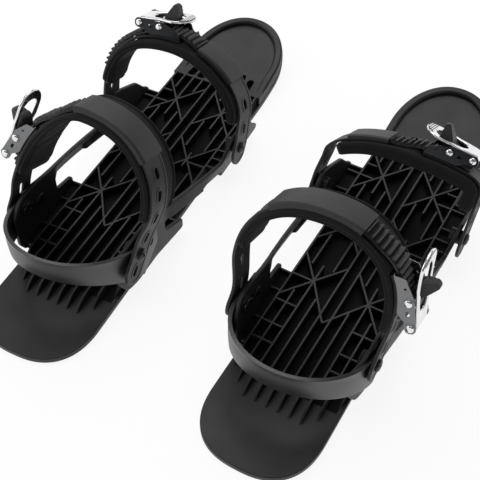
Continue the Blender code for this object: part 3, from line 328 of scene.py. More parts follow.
def board_matrix(side):
    """Return the matrix from a board's own frame to the scene, read from its ankle strap's hinge."""
    hinge = HINGES[f"{side}_ankle_strap_swing"]
    across = Vector(hinge["axis"]).normalized()
    ahead = UP.cross(across)
    origin = Vector(hinge["pos_m"]) - ahead * ANKLE.pivot_y - UP * ANKLE.pivot_z
    return Matrix.Translation(origin) @ Matrix((across, ahead, UP)).transposed().to_4x4()


def superellipse(half, run, exponent, steps):
    """Return the points of a superelliptic quarter, from its side (half, 0) to its end (0, run)."""
    angles = [math.pi / 2 * i / steps for i in range(steps + 1)]
    power = 2 / exponent
    return [(half * max(0.0, math.cos(a)) ** power, run * max(0.0, math.sin(a)) ** power) for a in angles]


def held(share):
    """Return a share kept from 0 to 1."""
    return min(1.0, max(0.0, share))


def eased(share):
    """Return a smooth step of a share from 0 to 1."""
    share = held(share)
    return share * share * (3 - 2 * share)


def measured(spots):
    """Return (length, x, y) at each spot of a path."""
    path, total = [(0.0, *spots[0])], 0.0
    for (x0, y0), (x1, y1) in zip(spots, spots[1:]):
        total += math.hypot(x1 - x0, y1 - y0)
        path.append((total, x1, y1))
    return path


def along_path(path, far):
    """Return the point and the unit run of a path at a length, which may lie beyond its end."""
    for (l0, x0, y0), (l1, x1, y1) in zip(path, path[1:]):
        if far <= l1:
            break
    share = (far - l0) / (l1 - l0)
    return Vector((x0 + (x1 - x0) * share, y0 + (y1 - y0) * share)), Vector((x1 - x0, y1 - y0)).normalized()


class Arch:
    """A strap's arch over one board, read every half millimetre along its length."""

    STEP = 0.5 * MM

    def __init__(self, side, label):
        self.side = side
        self.label = label
        self.shape = STRAPS[side, label]
        self.turn = BUCKLE_SIDE[side]
        shape = self.shape
        self.drops = {-1: shape.plain_drop, 1: shape.buckle_drop}
        self.runs = {
            -1: self.run(-1, shape.plain_half, shape.plain_shoulder, shape.plain_squareness),
            1: self.run(1, shape.buckle_half, shape.buckle_shoulder, shape.buckle_squareness),
        }
        self.first = self.end_length(-1)
        count = int((self.end_length(1) - self.first) / self.STEP) + 2
        self.frames = [self.frame(self.first + i * self.STEP) for i in range(count)]
        self.ratchet = Ratchet(self)

    def run(self, side, half, shoulder, squareness):
        """Return (length, x, h) from the crown down one side to the end of the lug."""
        shape = self.shape
        quarter = superellipse(half, shape.top - shoulder, squareness, 40)
        spots = [(x, shoulder + rise) for x, rise in reversed(quarter)]
        for i in range(1, 21):
            h = shoulder + (LUG_FLAT - shoulder) * i / 20
            spots.append((half + (shape.lug_x - half) * eased(i / 20), h))
        return measured(spots + [(shape.lug_x, 0.0), (shape.lug_x, -self.drops[side])])

    def flat_point(self, s):
        """Return (x, h) of the arch at a signed length from its crown."""
        side = 1 if s >= 0 else -1
        x, h = along_path(self.runs[side], abs(s))[0]
        return Vector((side * x, h))

    def lean(self, h):
        """Return the strap's angle above the horizontal, seen from the side."""
        shape = self.shape
        share = held((h - shape.bend_start) / (shape.bend_end - shape.bend_start))
        return math.radians(shape.low_lean + (shape.high_lean - shape.low_lean) * share)

    def frame(self, s):
        """Return the arch's middle point, and its along, outward and width directions."""
        point = self.flat_point(s)
        run = (self.flat_point(s + self.STEP) - self.flat_point(s - self.STEP)).normalized()
        y, z = self.shape.pivot_y, self.shape.pivot_z
        for i in range(24):
            angle = self.lean(point.y * (i + 0.5) / 24)
            y += math.cos(angle) * point.y / 24
            z += math.sin(angle) * point.y / 24
        lean = self.lean(point.y)
        rise = Vector((0, math.cos(lean), math.sin(lean)))
        across = Vector((self.turn, 0, 0))
        center = across * point.x + Vector((0, y, z))
        along = across * run.x + rise * run.y
        outward = rise * run.x - across * run.y
        return center, along, outward, Vector((0, math.sin(lean), -math.cos(lean)))

    def at(self, s):
        """Return the frame at a length, between the stored ones."""
        spot = min(max(0.0, (s - self.first) / self.STEP), len(self.frames) - 1.001)
        near, after = self.frames[int(spot)], self.frames[int(spot) + 1]
        return [a.lerp(b, spot - int(spot)) for a, b in zip(near, after)]

    def place(self, s, w, n):
        """Return the board-frame point at (s, w, n)."""
        center, _, outward, width = self.at(s)
        return center + outward * n + width * w

    def pivot_length(self, side):
        """Return the signed length from the crown to the pivot of one side."""
        return side * (self.runs[side][-1][0] - self.drops[side])

    def end_length(self, side):
        """Return the signed length from the crown to the tip of the lug."""
        return side * self.runs[side][-1][0]

    def add(self, name, word, shape, finish, slot, body="strap", **options):
        """Add one of this strap's pieces."""
        label = self.label
        return add_piece(self.side, f"{label}_{name}", word, shape, f"{label}_{body}", finish, slot, **options)


class Ratchet:
    """The frame of a ratchet that sits on an arch."""

    def __init__(self, arch):
        self.center, along, self.outward, self.width = arch.frame(arch.shape.buckle_at)
        self.toward_crown = -along

    def place(self, t, n, w=0.0):
        """Return the board-frame point at (t, n, w)."""
        return self.center + self.toward_crown * t + self.outward * n + self.width * w

    def local(self, point):
        """Return (t, n) of a board-frame point."""
        run = point - self.center
        return run.dot(self.toward_crown), run.dot(self.outward)


ARCHES = [Arch(*key) for key in STRAPS]


# Shapes

def arc(x, y, radius, start, turn, steps):
    """Return points on a circle from a start angle over a turn, both in degrees."""
    angles = [math.radians(start + turn * i / steps) for i in range(steps + 1)]
    return [(x + radius * math.cos(a), y + radius * math.sin(a)) for a in angles]


def circle(x, y, radius, segments=24):
    """Return the corners of a round outline."""
    return arc(x, y, radius, 0, 360, segments)[:-1]


def round_ended(start, end, width, steps=8, y=0.0):
    """Return a slot outline along x with round ends."""
    radius = width / 2
    return arc(end - radius, y, radius, -90, 180, steps) + arc(start + radius, y, radius, 90, 180, steps)


def rounded_box(x0, x1, y0, y1, radius, steps=5):
    """Return a rectangle outline with round corners."""
    corners = ((x1 - radius, y0 + radius), (x1 - radius, y1 - radius),
               (x0 + radius, y1 - radius), (x0 + radius, y0 + radius))
    return [spot for i, corner in enumerate(corners) for spot in arc(*corner, radius, 90 * i - 90, 90, steps)]


def filled(loops):
    """Return a flat shape at z = 0 that fills an outline and leaves its holes open."""
    shape = bmesh.new()
    edges = []
    for loop in loops:
        corners = [shape.verts.new((x, y, 0.0)) for x, y in loop]
        edges += [shape.edges.new(pair) for pair in zip(corners, corners[1:] + corners[:1])]
    bmesh.ops.triangle_fill(shape, use_beauty=True, use_dissolve=False, edges=edges)
    bmesh.ops.dissolve_limit(shape, angle_limit=0.01, verts=shape.verts[:], edges=shape.edges[:])
    bmesh.ops.recalc_face_normals(shape, faces=shape.faces[:])
    if shape.faces[:][0].normal.z < 0:
        bmesh.ops.reverse_faces(shape, faces=shape.faces[:])
    return shape


def thicken(shape, thickness):
    """Give a flat shape its thickness, with its middle plane at z = 0."""
    bmesh.ops.translate(shape, vec=(0, 0, -thickness / 2), verts=shape.verts[:])
    grown = bmesh.ops.extrude_face_region(shape, geom=shape.faces[:], use_keep_orig=True)["geom"]
    corners = [item for item in grown if isinstance(item, bmesh.types.BMVert)]
    bmesh.ops.translate(shape, vec=(0, 0, thickness), verts=corners)
    bmesh.ops.recalc_face_normals(shape, faces=shape.faces[:])


def slab(loops, thickness, radius=0.0, segments=2, least=50, keep=None):
    """Return a filled outline with its thickness and, where a radius is given, with rounded edges."""
    shape = filled(loops)
    thicken(shape, thickness)
    if radius:
        round_edges(shape, radius, segments, least, keep)
    return shape


def round_edges(shape, radius, segments=2, least=50, keep=None):
    """Round the edges that are sharper than an angle, and that keep() accepts."""
    edges = [e for e in shape.edges if e.is_manifold and e.calc_face_angle() > math.radians(least)]
    if keep:
        edges = [e for e in edges if keep(e)]
    bmesh.ops.bevel(shape, geom=edges, offset=radius, offset_type="OFFSET", segments=segments, profile=0.5,
                    affect="EDGES", clamp_overlap=True, material=-1)


def lies_flat(edge):
    """Return whether an edge has both ends at one height."""
    return abs(edge.verts[0].co.z - edge.verts[1].co.z) < WELD


def cut_across(shape, stations, axis=0):
    """Cut a shape across an axis at the stations, so that it can bend there."""
    normal = Vector((0, 0, 0))
    normal[axis] = 1.0
    for station in stations:
        bmesh.ops.bisect_plane(shape, geom=shape.verts[:] + shape.edges[:] + shape.faces[:], dist=WELD,
                               plane_co=normal * station, plane_no=normal)


def spaced(start, end, step):
    """Return stations about a step apart, between two ends."""
    count = max(1, round(abs(end - start) / step))
    return [start + (end - start) * i / count for i in range(1, count)]


def bend(shape, place):
    """Move each corner to place(corner)."""
    for corner in shape.verts:
        corner.co = place(corner.co)


def face_outward(shape):
    """Turn the faces of closed bodies outward."""
    bmesh.ops.recalc_face_normals(shape, faces=shape.faces[:])
    if shape.calc_volume(signed=True) < 0:
        bmesh.ops.reverse_faces(shape, faces=shape.faces[:])


def together(shapes):
    """Return one shape that holds all the given ones."""
    result = bmesh.new()
    for shape in shapes:
        face_outward(shape)
        mesh = as_mesh(shape)
        result.from_mesh(mesh)
        bpy.data.meshes.remove(mesh)
    return result


def shaded(shape, accepts):
    """Give the faces that accepts() takes the piece's second finish, a painted shade, and return the shape."""
    shape.normal_update()
    for face in shape.faces:
        if accepts(face):
            face.material_index = 1
    return shape


def carved(shape, cutters):
    """Return the shape cut by the cutters."""
    body, tool = [linked("part", as_mesh(part)) for part in (shape, together(cutters))]
    cut = body.modifiers.new("cut", "BOOLEAN")
    cut.operation = "DIFFERENCE"
    cut.solver = "EXACT"
    cut.use_self = True
    cut.object = tool
    evaluated = body.evaluated_get(bpy.context.evaluated_depsgraph_get())
    mesh = bpy.data.meshes.new_from_object(evaluated)
    result = bmesh.new()
    result.from_mesh(mesh)
    bmesh.ops.remove_doubles(result, verts=result.verts[:], dist=WELD)
    for thing in (body, tool):
        bpy.data.objects.remove(thing)
    bpy.data.meshes.remove(mesh)
    return result


def block(low, high, turn=0.0):
    """Return a box between two corners, turned about its own vertical middle line."""
    low, high = Vector(low), Vector(high)
    shape = bmesh.new()
    bmesh.ops.create_cube(shape, size=1.0, matrix=Matrix.Translation((low + high) / 2)
                          @ Matrix.Rotation(turn, 4, "Z") @ Matrix.Diagonal((*(high - low), 1.0)))
    return shape


def aim(shape, center, axis):
    """Turn a shape's Z to an axis and move its origin to a point."""
    turn = Vector(axis).to_track_quat("Z", "Y").to_matrix().to_4x4()
    bmesh.ops.transform(shape, matrix=Matrix.Translation(center) @ turn, verts=shape.verts[:])


def turned(profile, center, axis, segments=32):
    """Return a turned shape: the profile gives (radius, height) along the axis."""
    shape = bmesh.new()
    corners = [shape.verts.new((radius, 0.0, height)) for radius, height in profile]
    edges = [shape.edges.new(pair) for pair in zip(corners, corners[1:])]
    if profile[0][0] > 0:
        edges.append(shape.edges.new((corners[-1], corners[0])))
    bmesh.ops.spin(shape, geom=corners + edges, cent=(0, 0, 0), axis=(0, 0, 1), angle=2 * math.pi,
                   steps=segments, use_merge=True, use_duplicate=False)
    bmesh.ops.remove_doubles(shape, verts=shape.verts[:], dist=0.002 * MM)
    aim(shape, center, axis)
    face_outward(shape)
    return shape


def coil(center, axis, start, end):
    """Return a spring around an axis between two heights along it."""
    shape = bmesh.new()
    upright = Matrix.Translation((SPRING_RADIUS, 0, start)) @ Matrix.Rotation(math.pi / 2, 4, "X")
    ring = bmesh.ops.create_circle(shape, cap_ends=False, radius=SPRING_WIRE, segments=8, matrix=upright)
    steps = SPRING_TURNS * 14
    geom = ring["verts"] + shape.edges[:]
    bmesh.ops.spin(shape, geom=geom, cent=(0, 0, 0), axis=(0, 0, 1), dvec=(0, 0, (end - start) / steps),
                   angle=2 * math.pi * SPRING_TURNS, steps=steps)
    bmesh.ops.holes_fill(shape, edges=shape.edges[:], sides=8)
    aim(shape, center, axis)
    face_outward(shape)
    return shape


def as_mesh(shape, name="part"):
    """Return a shape as mesh data."""
    mesh = bpy.data.meshes.new(name)
    shape.to_mesh(mesh)
    shape.free()
    return mesh


def linked(name, data):
    """Return a new object in the scene."""
    thing = bpy.data.objects.new(name, data)
    bpy.context.scene.collection.objects.link(thing)
    return thing


def add_piece(side, name, word, shape, body, finish, slot, spare=False, sharp=38, even=True):
    """Make a shape a piece that rides on one of a side's bodies and, unless it is spare, stands for a CAD node."""
    bmesh.ops.transform(shape, matrix=board_matrix(side), verts=shape.verts[:])
    node = f"{side}_{name}"
    piece = linked(f"{node}_{word}", as_mesh(shape, f"{node}_{word}"))
    for paint in finish if isinstance(finish, tuple) else (finish,):
        piece.data.materials.append(FINISHES[paint])
    piece.data.shade_smooth()
    piece.data.set_sharp_from_angle(angle=math.radians(sharp))
    if even:
        piece.modifiers.new("even shading", "WEIGHTED_NORMAL").keep_sharp = True
    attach(piece, f"{side}_{body}")
    if not spare:
        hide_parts(node)
    return piece


# Finishes

def add_node(tree, kind, inputs=(), **settings):
    """Add a shader node, make its settings, link or set its inputs by name or number, and return it."""
    node = tree.nodes.new(kind)
    for key, value in settings.items():
        setattr(node, key, value)
    for key, value in dict(inputs).items():
        if isinstance(value, bpy.types.NodeSocket):
            tree.links.new(value, node.inputs[key])
        else:
            node.inputs[key].default_value = value
    return node


class Finish:
    """A material made of nodes, built one step at a time."""

    def __init__(self, name, colour, roughness, metallic=0.0):
        self.material = bpy.data.materials.new(name)
        self.material.use_nodes = True
        self.tree = self.material.node_tree
        self.shader = self.tree.nodes["Principled BSDF"]
        self.set("Base Color", (*colour, 1))
        self.set("Roughness", roughness)
        self.set("Metallic", metallic)
        self.colour = colour
        self.place = self.add("ShaderNodeTexCoord").outputs["Object"]
        self.height = None

    def set(self, name, value):
        """Set one of the shader's inputs, or link a pattern to it."""
        if isinstance(value, bpy.types.NodeSocket):
            self.tree.links.new(value, self.shader.inputs[name])
        else:
            self.shader.inputs[name].default_value = value

    def add(self, kind, inputs=(), **settings):
        """Add a node to the finish and return it."""
        return add_node(self.tree, kind, inputs, **settings)

    def noise(self, scale, detail=2.0, stretch=None):
        """Return a noise pattern, drawn out by a stretch of the coordinates."""
        place = self.place
        if stretch:
            place = self.add("ShaderNodeMapping", {"Vector": place, "Scale": stretch}).outputs["Vector"]
        node = self.add("ShaderNodeTexNoise", {"Vector": place, "Scale": scale, "Detail": detail})
        return node.outputs["Fac"]

    def spread(self, value, low, high, start=0.3, end=0.7):
        """Return a pattern's values from start..end moved to low..high."""
        node = self.add("ShaderNodeMapRange", {
            "Value": value, "From Min": start, "From Max": end, "To Min": low, "To Max": high})
        return node.outputs["Result"]

    def tint(self, value, dark, light):
        """Mix the base colour between two strengths of itself by a value from 0 to 1."""
        low, high = [(*[min(1.0, c * strength) for c in self.colour], 1) for strength in (dark, light)]
        mix = self.add("ShaderNodeMix", {"Factor": value, "A": low, "B": high}, data_type="RGBA")
        self.set("Base Color", mix.outputs["Result"])

    def relief(self, value, depth, strength=1.0):
        """Add a bump of a depth in metres."""
        inputs = {"Height": value, "Distance": depth, "Strength": strength}
        if self.height is not None:
            inputs["Normal"] = self.height
        self.height = self.add("ShaderNodeBump", inputs).outputs["Normal"]
        self.set("Normal", self.height)

    def math(self, operation, *values):
        """Return the result of a math node."""
        return self.add("ShaderNodeMath", enumerate(values), operation=operation).outputs[0]


def moulded_plastic(name, colour, roughness, grain, scuffs, shine=0.5):
    """Return moulded plastic: fine spark-eroded grain, uneven gloss and faint scuffs along the board."""
    finish = Finish(name, colour, roughness)
    patches = finish.noise(38, 3)
    scratches = finish.noise(1.0, 4, (900, 45, 500))
    worn = finish.spread(scratches, 0.0, 1.0, 0.62, 0.78)
    finish.tint(finish.math("MULTIPLY_ADD", worn, scuffs, finish.spread(patches, 0.0, 0.7)), 0.82, 1.5)
    uneven = finish.spread(patches, roughness - 0.05, roughness + 0.06)
    finish.set("Roughness", finish.math("MULTIPLY_ADD", worn, 0.12, uneven))
    finish.relief(finish.noise(2600, 2), grain, 0.35)
    finish.relief(scratches, 0.02 * MM, 0.25)
    finish.set("Specular IOR Level", shine)
    return finish.material


def pad_cloth(name, colour, thread):
    """Return a twill cloth that follows the pad's own map, in millimetres."""
    finish = Finish(name, colour, 0.82)
    chart = finish.add("ShaderNodeUVMap", uv_map="Cloth")
    period = 0.314 / (thread / MM)
    threads = []
    for turn in (0.0, math.pi / 2):
        place = finish.add("ShaderNodeMapping", {"Vector": chart.outputs["UV"], "Rotation": (0, 0, turn + 0.6)})
        wave = finish.add("ShaderNodeTexWave", {
            "Vector": place.outputs["Vector"], "Scale": period, "Distortion": 0.6, "Detail": 1.0,
            "Detail Scale": 2.0}, wave_profile="SIN")
        threads.append(wave.outputs["Fac"])
    weave = finish.math("MAXIMUM", threads[0], finish.math("MULTIPLY", threads[1], 0.8))
    fuzz = finish.noise(1400, 3)
    finish.tint(finish.math("MULTIPLY_ADD", weave, 0.6, finish.math("MULTIPLY", fuzz, 0.4)), 0.55, 1.7)
    finish.set("Roughness", finish.spread(weave, 0.9, 0.68, 0.0, 1.0))
    finish.relief(weave, 0.16 * MM, 0.55)
    finish.relief(finish.noise(60, 3), 0.35 * MM, 0.35)
    finish.set("Sheen Weight", 0.1)
    finish.set("Specular IOR Level", 0.25)
    finish.set("Sheen Roughness", 0.45)
    return finish.material


def plated_metal(name, colour, roughness, streaks, stretch):
    """Return plated metal with fine streaks, faint pits and finger-worn gloss."""
    finish = Finish(name, colour, roughness, 1.0)
    lines = finish.noise(1.0, 3, stretch)
    patches = finish.noise(120, 3)
    finish.tint(finish.spread(patches, 0.0, 1.0), 0.9, 1.08)
    uneven = finish.spread(lines, -streaks, streaks)
    finish.set("Roughness", finish.math("ADD", uneven, finish.spread(patches, roughness * 0.8, roughness * 1.25)))
    finish.relief(lines, 0.01 * MM, 0.3)
    return finish.material


FINISHES = {}


def make_finishes(scene):
    """Make every finish from the colours that are set."""
    colours, sizes = scene.skiboard_colours, scene.skiboard_sizes
    FINISHES.update(
        deck=moulded_plastic("deck_plastic", colours.deck, 0.46, 0.05 * MM, 0.35, 0.42),
        # The cells finish is painted shade: deck colour darkened, duller and less glossy, for cell floors, rib sides,
        # wing floors and the ladder band
        cells=moulded_plastic("cell_plastic_painted_shade", [c * CELL_PAINTED_SHADE for c in colours.deck], 0.8, 0.05 * MM, 0.1, 0.2),
        strap=moulded_plastic("strap_plastic", colours.strap, 0.5, 0.04 * MM, 0.25),
        loop=moulded_plastic("heel_loop_plastic", colours.strap, 0.4, 0.03 * MM, 0.2, 0.85),
        cloth=pad_cloth("pad_cloth", colours.cloth, sizes.thread),
        steel=plated_metal("satin_steel", colours.steel, 0.34, 0.06, (1500, 1500, 120)),
        # The dark steel finish colours the toe ratchets and also paints groove shade between the levers' grip ribs.
        dark_steel=plated_metal("dark_steel", colours.dark_steel, 0.22, 0.04, (1500, 1500, 120)),
        chrome=plated_metal("bright_chrome", colours.chrome, 0.07, 0.02, (700, 700, 90)),
        screw=plated_metal("blackened_screw", colours.screw, 0.36, 0.05, (2000, 2000, 2000)),
    )


# Operators

class SKIBOARDS_OT_finishes(bpy.types.Operator):
    """Make the plastics, the cloth and the metals"""

    bl_idname = "skiboards.finishes"
    bl_label = "Finishes"

    def execute(self, context):
        make_finishes(context.scene)
        return {"FINISHED"}


def plate_outline(inset=0.0):
    """Return the ski's plan outline from the right side of the tail around the tip, drawn in by an inset."""
    half = PLATE_WIDTH / 2 - inset
    tail = superellipse(half, TAIL_ROUND - inset, TAIL_SQUARENESS, OUTLINE_STEPS)
    tip = superellipse(half, TIP_ROUND - inset, TIP_SQUARENESS, OUTLINE_STEPS)
    right = [(x, TAIL_END + TAIL_ROUND - y) for x, y in reversed(tail)]
    right += [(x, TIP_END - TIP_ROUND + y) for x, y in tip]
    return right + [(-x, y) for x, y in reversed(right[1:-1])]


def sole_height(y):
    """Return the height of the running surface."""
    return TIP_LIFT * max(0.0, (y - TIP_START) / (TIP_END - TIP_START)) ** 2


def top_height(y):
    """Return the height of the tip's top surface."""
    return RIB_TOP + (TIP_TOP - RIB_TOP) * max(0.0, (y - GRID_FRONT) / (TIP_END - GRID_FRONT)) ** 2


def floor_height(y):
    """Return the height of the cells' floors and of what lies under the tip's top skin."""
    return min(sole_height(y) + PLATE_TOP, top_height(y) - 1.5 * MM)


def between(spots, x):
    """Return the height at x on the straight runs between spots of rising x."""
    for (x0, y0), (x1, y1) in zip(spots, spots[1:]):
        if x <= x1:
            return y0 + (y1 - y0) * max(0.0, (x - x0) / (x1 - x0))
    return spots[-1][1]


def softened(spots, radius, steps=4):
    """Return a closed outline whose corners are rounded over a radius, or less where its sides are short."""
    outline = []
    for i, corner in enumerate(spots):
        corner = Vector(corner)
        ends = [Vector(spots[i - 1]), Vector(spots[(i + 1) % len(spots)])]
        before, after = [corner + (end - corner).normalized() * min(radius, (end - corner).length * 0.45)
                         for end in ends]
        for j in range(steps + 1):
            share = j / steps
            outline.append(tuple(before.lerp(corner, share).lerp(corner.lerp(after, share), share)))
    return outline


def base_plate(edge):
    """Return the plate with its turned-up running surface."""
    shape = slab([plate_outline()], PLATE_TOP, 2 * edge, 3, 60)
    cut_across(shape, [CELL_REAR, *spaced(TIP_START, TIP_END, 4 * MM)], 1)
    cut_across(shape, [-CELL_X] + [x * 12 * MM for x in range(-3, 4)] + [CELL_X])

    def place(corner):
        share = corner.z / PLATE_TOP + 0.5
        low, high = sole_height(corner.y), floor_height(corner.y)
        return Vector((corner.x, corner.y, low + (high - low) * share))

    bend(shape, place)
    # The cell floors get painted shade, the darker cells finish.
    return shaded(shape, in_cells)


def in_cells(face):
    """Return whether a face is part of the floors between the ribs, which get painted shade."""
    spot = face.calc_center_median()
    return face.normal.z > 0.6 and abs(spot.x) < CELL_X and CELL_REAR < spot.y < GRID_FRONT


def steep(face):
    """Return whether a face stands upright; the ribs' upright sides get painted shade."""
    return abs(face.normal.z) < 0.3


def tip_skin(edge):
    """Return the tip's top skin with its tapering slots, dished between the rims."""
    outline = [(x, y) for x, y in plate_outline(0.4 * MM) if y > GRID_FRONT]
    half = PLATE_WIDTH / 2 - 0.4 * MM
    loops = [outline + [(-half, GRID_FRONT), (half, GRID_FRONT)]]
    for way in (-1, 1):
        for near, far, front in TIP_SLOTS:
            start = GRID_FRONT + 2.5 * MM
            narrow = (far - near) * 0.28
            corners = [(way * near, start), (way * far, start), (way * (far - narrow), front),
                       (way * (near + narrow * 0.3), front)]
            loops.append(softened(corners, 3 * MM))
    thick = 8 * MM
    shape = slab(loops, thick, 2 * edge, 3)
    cut_across(shape, spaced(GRID_FRONT, TIP_END, 3 * MM), 1)
    cut_across(shape, [x * 6 * MM for x in range(-7, 8)])

    def place(corner):
        share = corner.z / thick + 0.5
        low = floor_height(corner.y) - 0.4 * MM
        dish = 1.2 * MM * eased((corner.y - GRID_FRONT) / (25 * MM)) * (1 - min(1.0, abs(corner.x) / half) ** 2)
        high = top_height(corner.y) - 0.6 * MM - dish
        return Vector((corner.x, corner.y, low + (high - low) * share))

    bend(shape, place)
    return shape


def tip_rim():
    """Return the rounded rim around the tip, which rises out of the skin on both sides."""
    middle = [(x, y) for x, y in plate_outline(RIM_WIDTH / 2) if y > GRID_FRONT]
    half = PLATE_WIDTH / 2 - RIM_WIDTH / 2
    middle = [(half, GRID_FRONT + 1 * MM)] + middle + [(-half, GRID_FRONT + 1 * MM)]
    path = measured(middle)
    total = path[-1][0]
    width = RIM_WIDTH - 1 * MM
    shape = slab([[(0, -width / 2), (total, -width / 2), (total, width / 2), (0, width / 2)]], RIM_BAR,
                 2.4 * MM, 5, 50, lambda e: abs(e.verts[0].co.x - e.verts[1].co.x) > total / 2)
    cut_across(shape, spaced(0, total, 2.4 * MM))

    def place(corner):
        point, run = along_path(path, corner.x)
        spot = point + Vector((-run.y, run.x)) * corner.y
        rise = RIM_HEIGHT - (RIM_HEIGHT + 1.2 * MM) * (1 - eased((point.y - GRID_FRONT) / (32 * MM)))
        return Vector((spot.x, spot.y, top_height(point.y) + rise - RIM_BAR / 2 + corner.z))

    bend(shape, place)
    return shape


def lengthwise_rib(x, start, end, fades, edge):
    """Return a rib along Y; one that fades comes down to the plate at its rear end."""
    low = PLATE_TOP - LAP
    drop = RIB_TOP - low
    side = [(end, low), (end, RIB_TOP)]
    if fades:
        side += [(start + FADE * i / 10, low + drop * (1 - (1 - i / 10) ** 2.6)) for i in range(10, -1, -1)]
    else:
        side += [(start, RIB_TOP), (start, low)]
    shape = slab([side], RIB, edge, 2, 60)
    bend(shape, lambda c: Vector((x + c.z, c.x, c.y)))
    # The rib's upright sides get painted shade, the darker cells finish.
    return shaded(shape, steep)


def slanted_rib(start, end, top, edge):
    """Return a rib between two plan points."""
    start, end = Vector(start), Vector(end)
    middle, run = (start + end) / 2, end - start
    low = (middle.x - run.length / 2, middle.y - RIB / 2, PLATE_TOP - LAP)
    high = (middle.x + run.length / 2, middle.y + RIB / 2, top)
    shape = block(low, high, math.atan2(run.y, run.x))
    round_edges(shape, edge)
    # The rib's upright sides get painted shade, the darker cells finish.
    return shaded(shape, steep)


def rib_grid(edge):
    """Return the ribs of one deck: lengthwise, slanted and across, each a hair lower than the last."""
    front = GRID_FRONT + 1.5 * MM
    ahead, middle, behind = STAR_ROWS
    reach = 0.62 * STAR_REACH
    broken = [(behind + reach, middle - reach, False), (middle + reach, ahead - reach, False),
              (ahead + reach, front, False)]
    lines = {
        0: [(RIB_REAR, front, True)],
        1: [(RIB_REAR, behind - reach, True)] + broken,
        2: [(RIB_REAR, behind + 18 * MM, True), (middle - 9 * MM, middle + 9 * MM, False),
            (ahead - 23 * MM, front, False)],
        3: [(-153 * MM, behind - reach, True)] + broken,
        4: [(-136 * MM, front, True)],
    }
    slants = []
    for row in STAR_ROWS:
        for way in (-1, 1):
            slants.append(((STAR_X, row), (SIDE_X, row + way * STAR_REACH)))
            vee = way < 0 and row == behind
            slants.append(((STAR_X, row), (0.0, VEE_END) if vee else (LINE_PITCH / 2, row + way * STAR_REACH)))
    wing_x = FRONT_WALL_X - WALL + LAP + FRONT_FLARE * (PLATE_TOP - WING_BOTTOM)
    across = [(ahead + 9 * MM, 33 * MM, SIDE_X), (ahead - 6.5 * MM, 30 * MM, wing_x),
              (middle - 2.5 * MM, 27 * MM, SIDE_X), (behind - 0.5 * MM, STAR_X, SIDE_X)]
    across += [(y * MM, STAR_X, SIDE_X) for y in (-76, -98.6, -115.3)]
    across += [(y * MM, SIDE_X, wing_x) for y in (56.3, 43.2, 31.6)]
    across.append((-98.6 * MM, SIDE_X, WAIST_X - WALL + LAP))
    across.append((-68 * MM, SIDE_X, REAR_WALL_X - WALL - LAP))
    ribs = []
    for side in (-1, 1):
        for k, spans in lines.items():
            ribs += [lengthwise_rib(side * (k + 0.5) * LINE_PITCH, *span, edge) for span in spans]
        for (x0, y0), (x1, y1) in slants:
            ribs.append(slanted_rib((side * x0, y0), (side * x1, y1), RIB_TOP - 0.06 * MM, edge))
        for y, x0, x1 in across:
            ribs.append(slanted_rib((side * x0, y), (side * x1, y), RIB_TOP - 0.12 * MM, edge))
    return ribs


def wall_x(y, z):
    """Return the outer face of a side wall or rail."""
    if y > FRONT_WING[0]:
        return FRONT_WALL_X + FRONT_FLARE * (z - WING_BOTTOM)
    if y < WAIST_END:
        return min(WAIST_X, loop_half_width(y, -LOOP_THICKNESS / 2) - GAP)
    share = min(1.0, (y - WAIST_END) / (WAIST_START - WAIST_END))
    x = WAIST_X + (REAR_WALL_X - WAIST_X) * share
    if y > WAIST_START:
        share = (y - WAIST_START) / (FRONT_WING[0] - WAIST_START)
        x += share * (FRONT_WALL_X + FRONT_FLARE * (z - WING_BOTTOM) - x)
    if y > REAR_WALL_FRONT and z > GUSSET_TOP[0][1]:
        foot = (between(WALL_TOP, y) - z) / RAIL_DEPTH
        x += RAIL_FLARE * foot * eased((y - REAR_WALL_FRONT) / (8 * MM))
    return x


def side_wall(side, edge):
    """Return one side's walls and rail as one flowing band with a soft edge."""
    rail = [(y, between(WALL_TOP, y) - RAIL_DEPTH) for y in (FRONT_WING[0], WAIST_START, REAR_WALL_FRONT)]
    outline = list(WALL_TOP)
    outline += [(FRONT_WING[1], WING_BOTTOM), (FRONT_WING[0], WING_BOTTOM)] + rail
    outline += list(GUSSET_TOP) + [(REAR_WING[1], WING_BOTTOM), (REAR_WING[0], WING_BOTTOM), (WALL_REAR, 22 * MM)]
    shape = slab([softened(outline, 3 * MM)], WALL, 3 * edge, 3, 60)
    cut_across(shape, spaced(WALL_REAR, FRONT_WING[1], 3 * MM))
    cut_across(shape, [z * MM for z in range(12, 53, 4)], 1)

    def place(corner):
        y, z = corner.x, corner.y
        return Vector((side * (wall_x(y, z) - WALL / 2 + corner.z), y, z))

    bend(shape, place)
    return shape


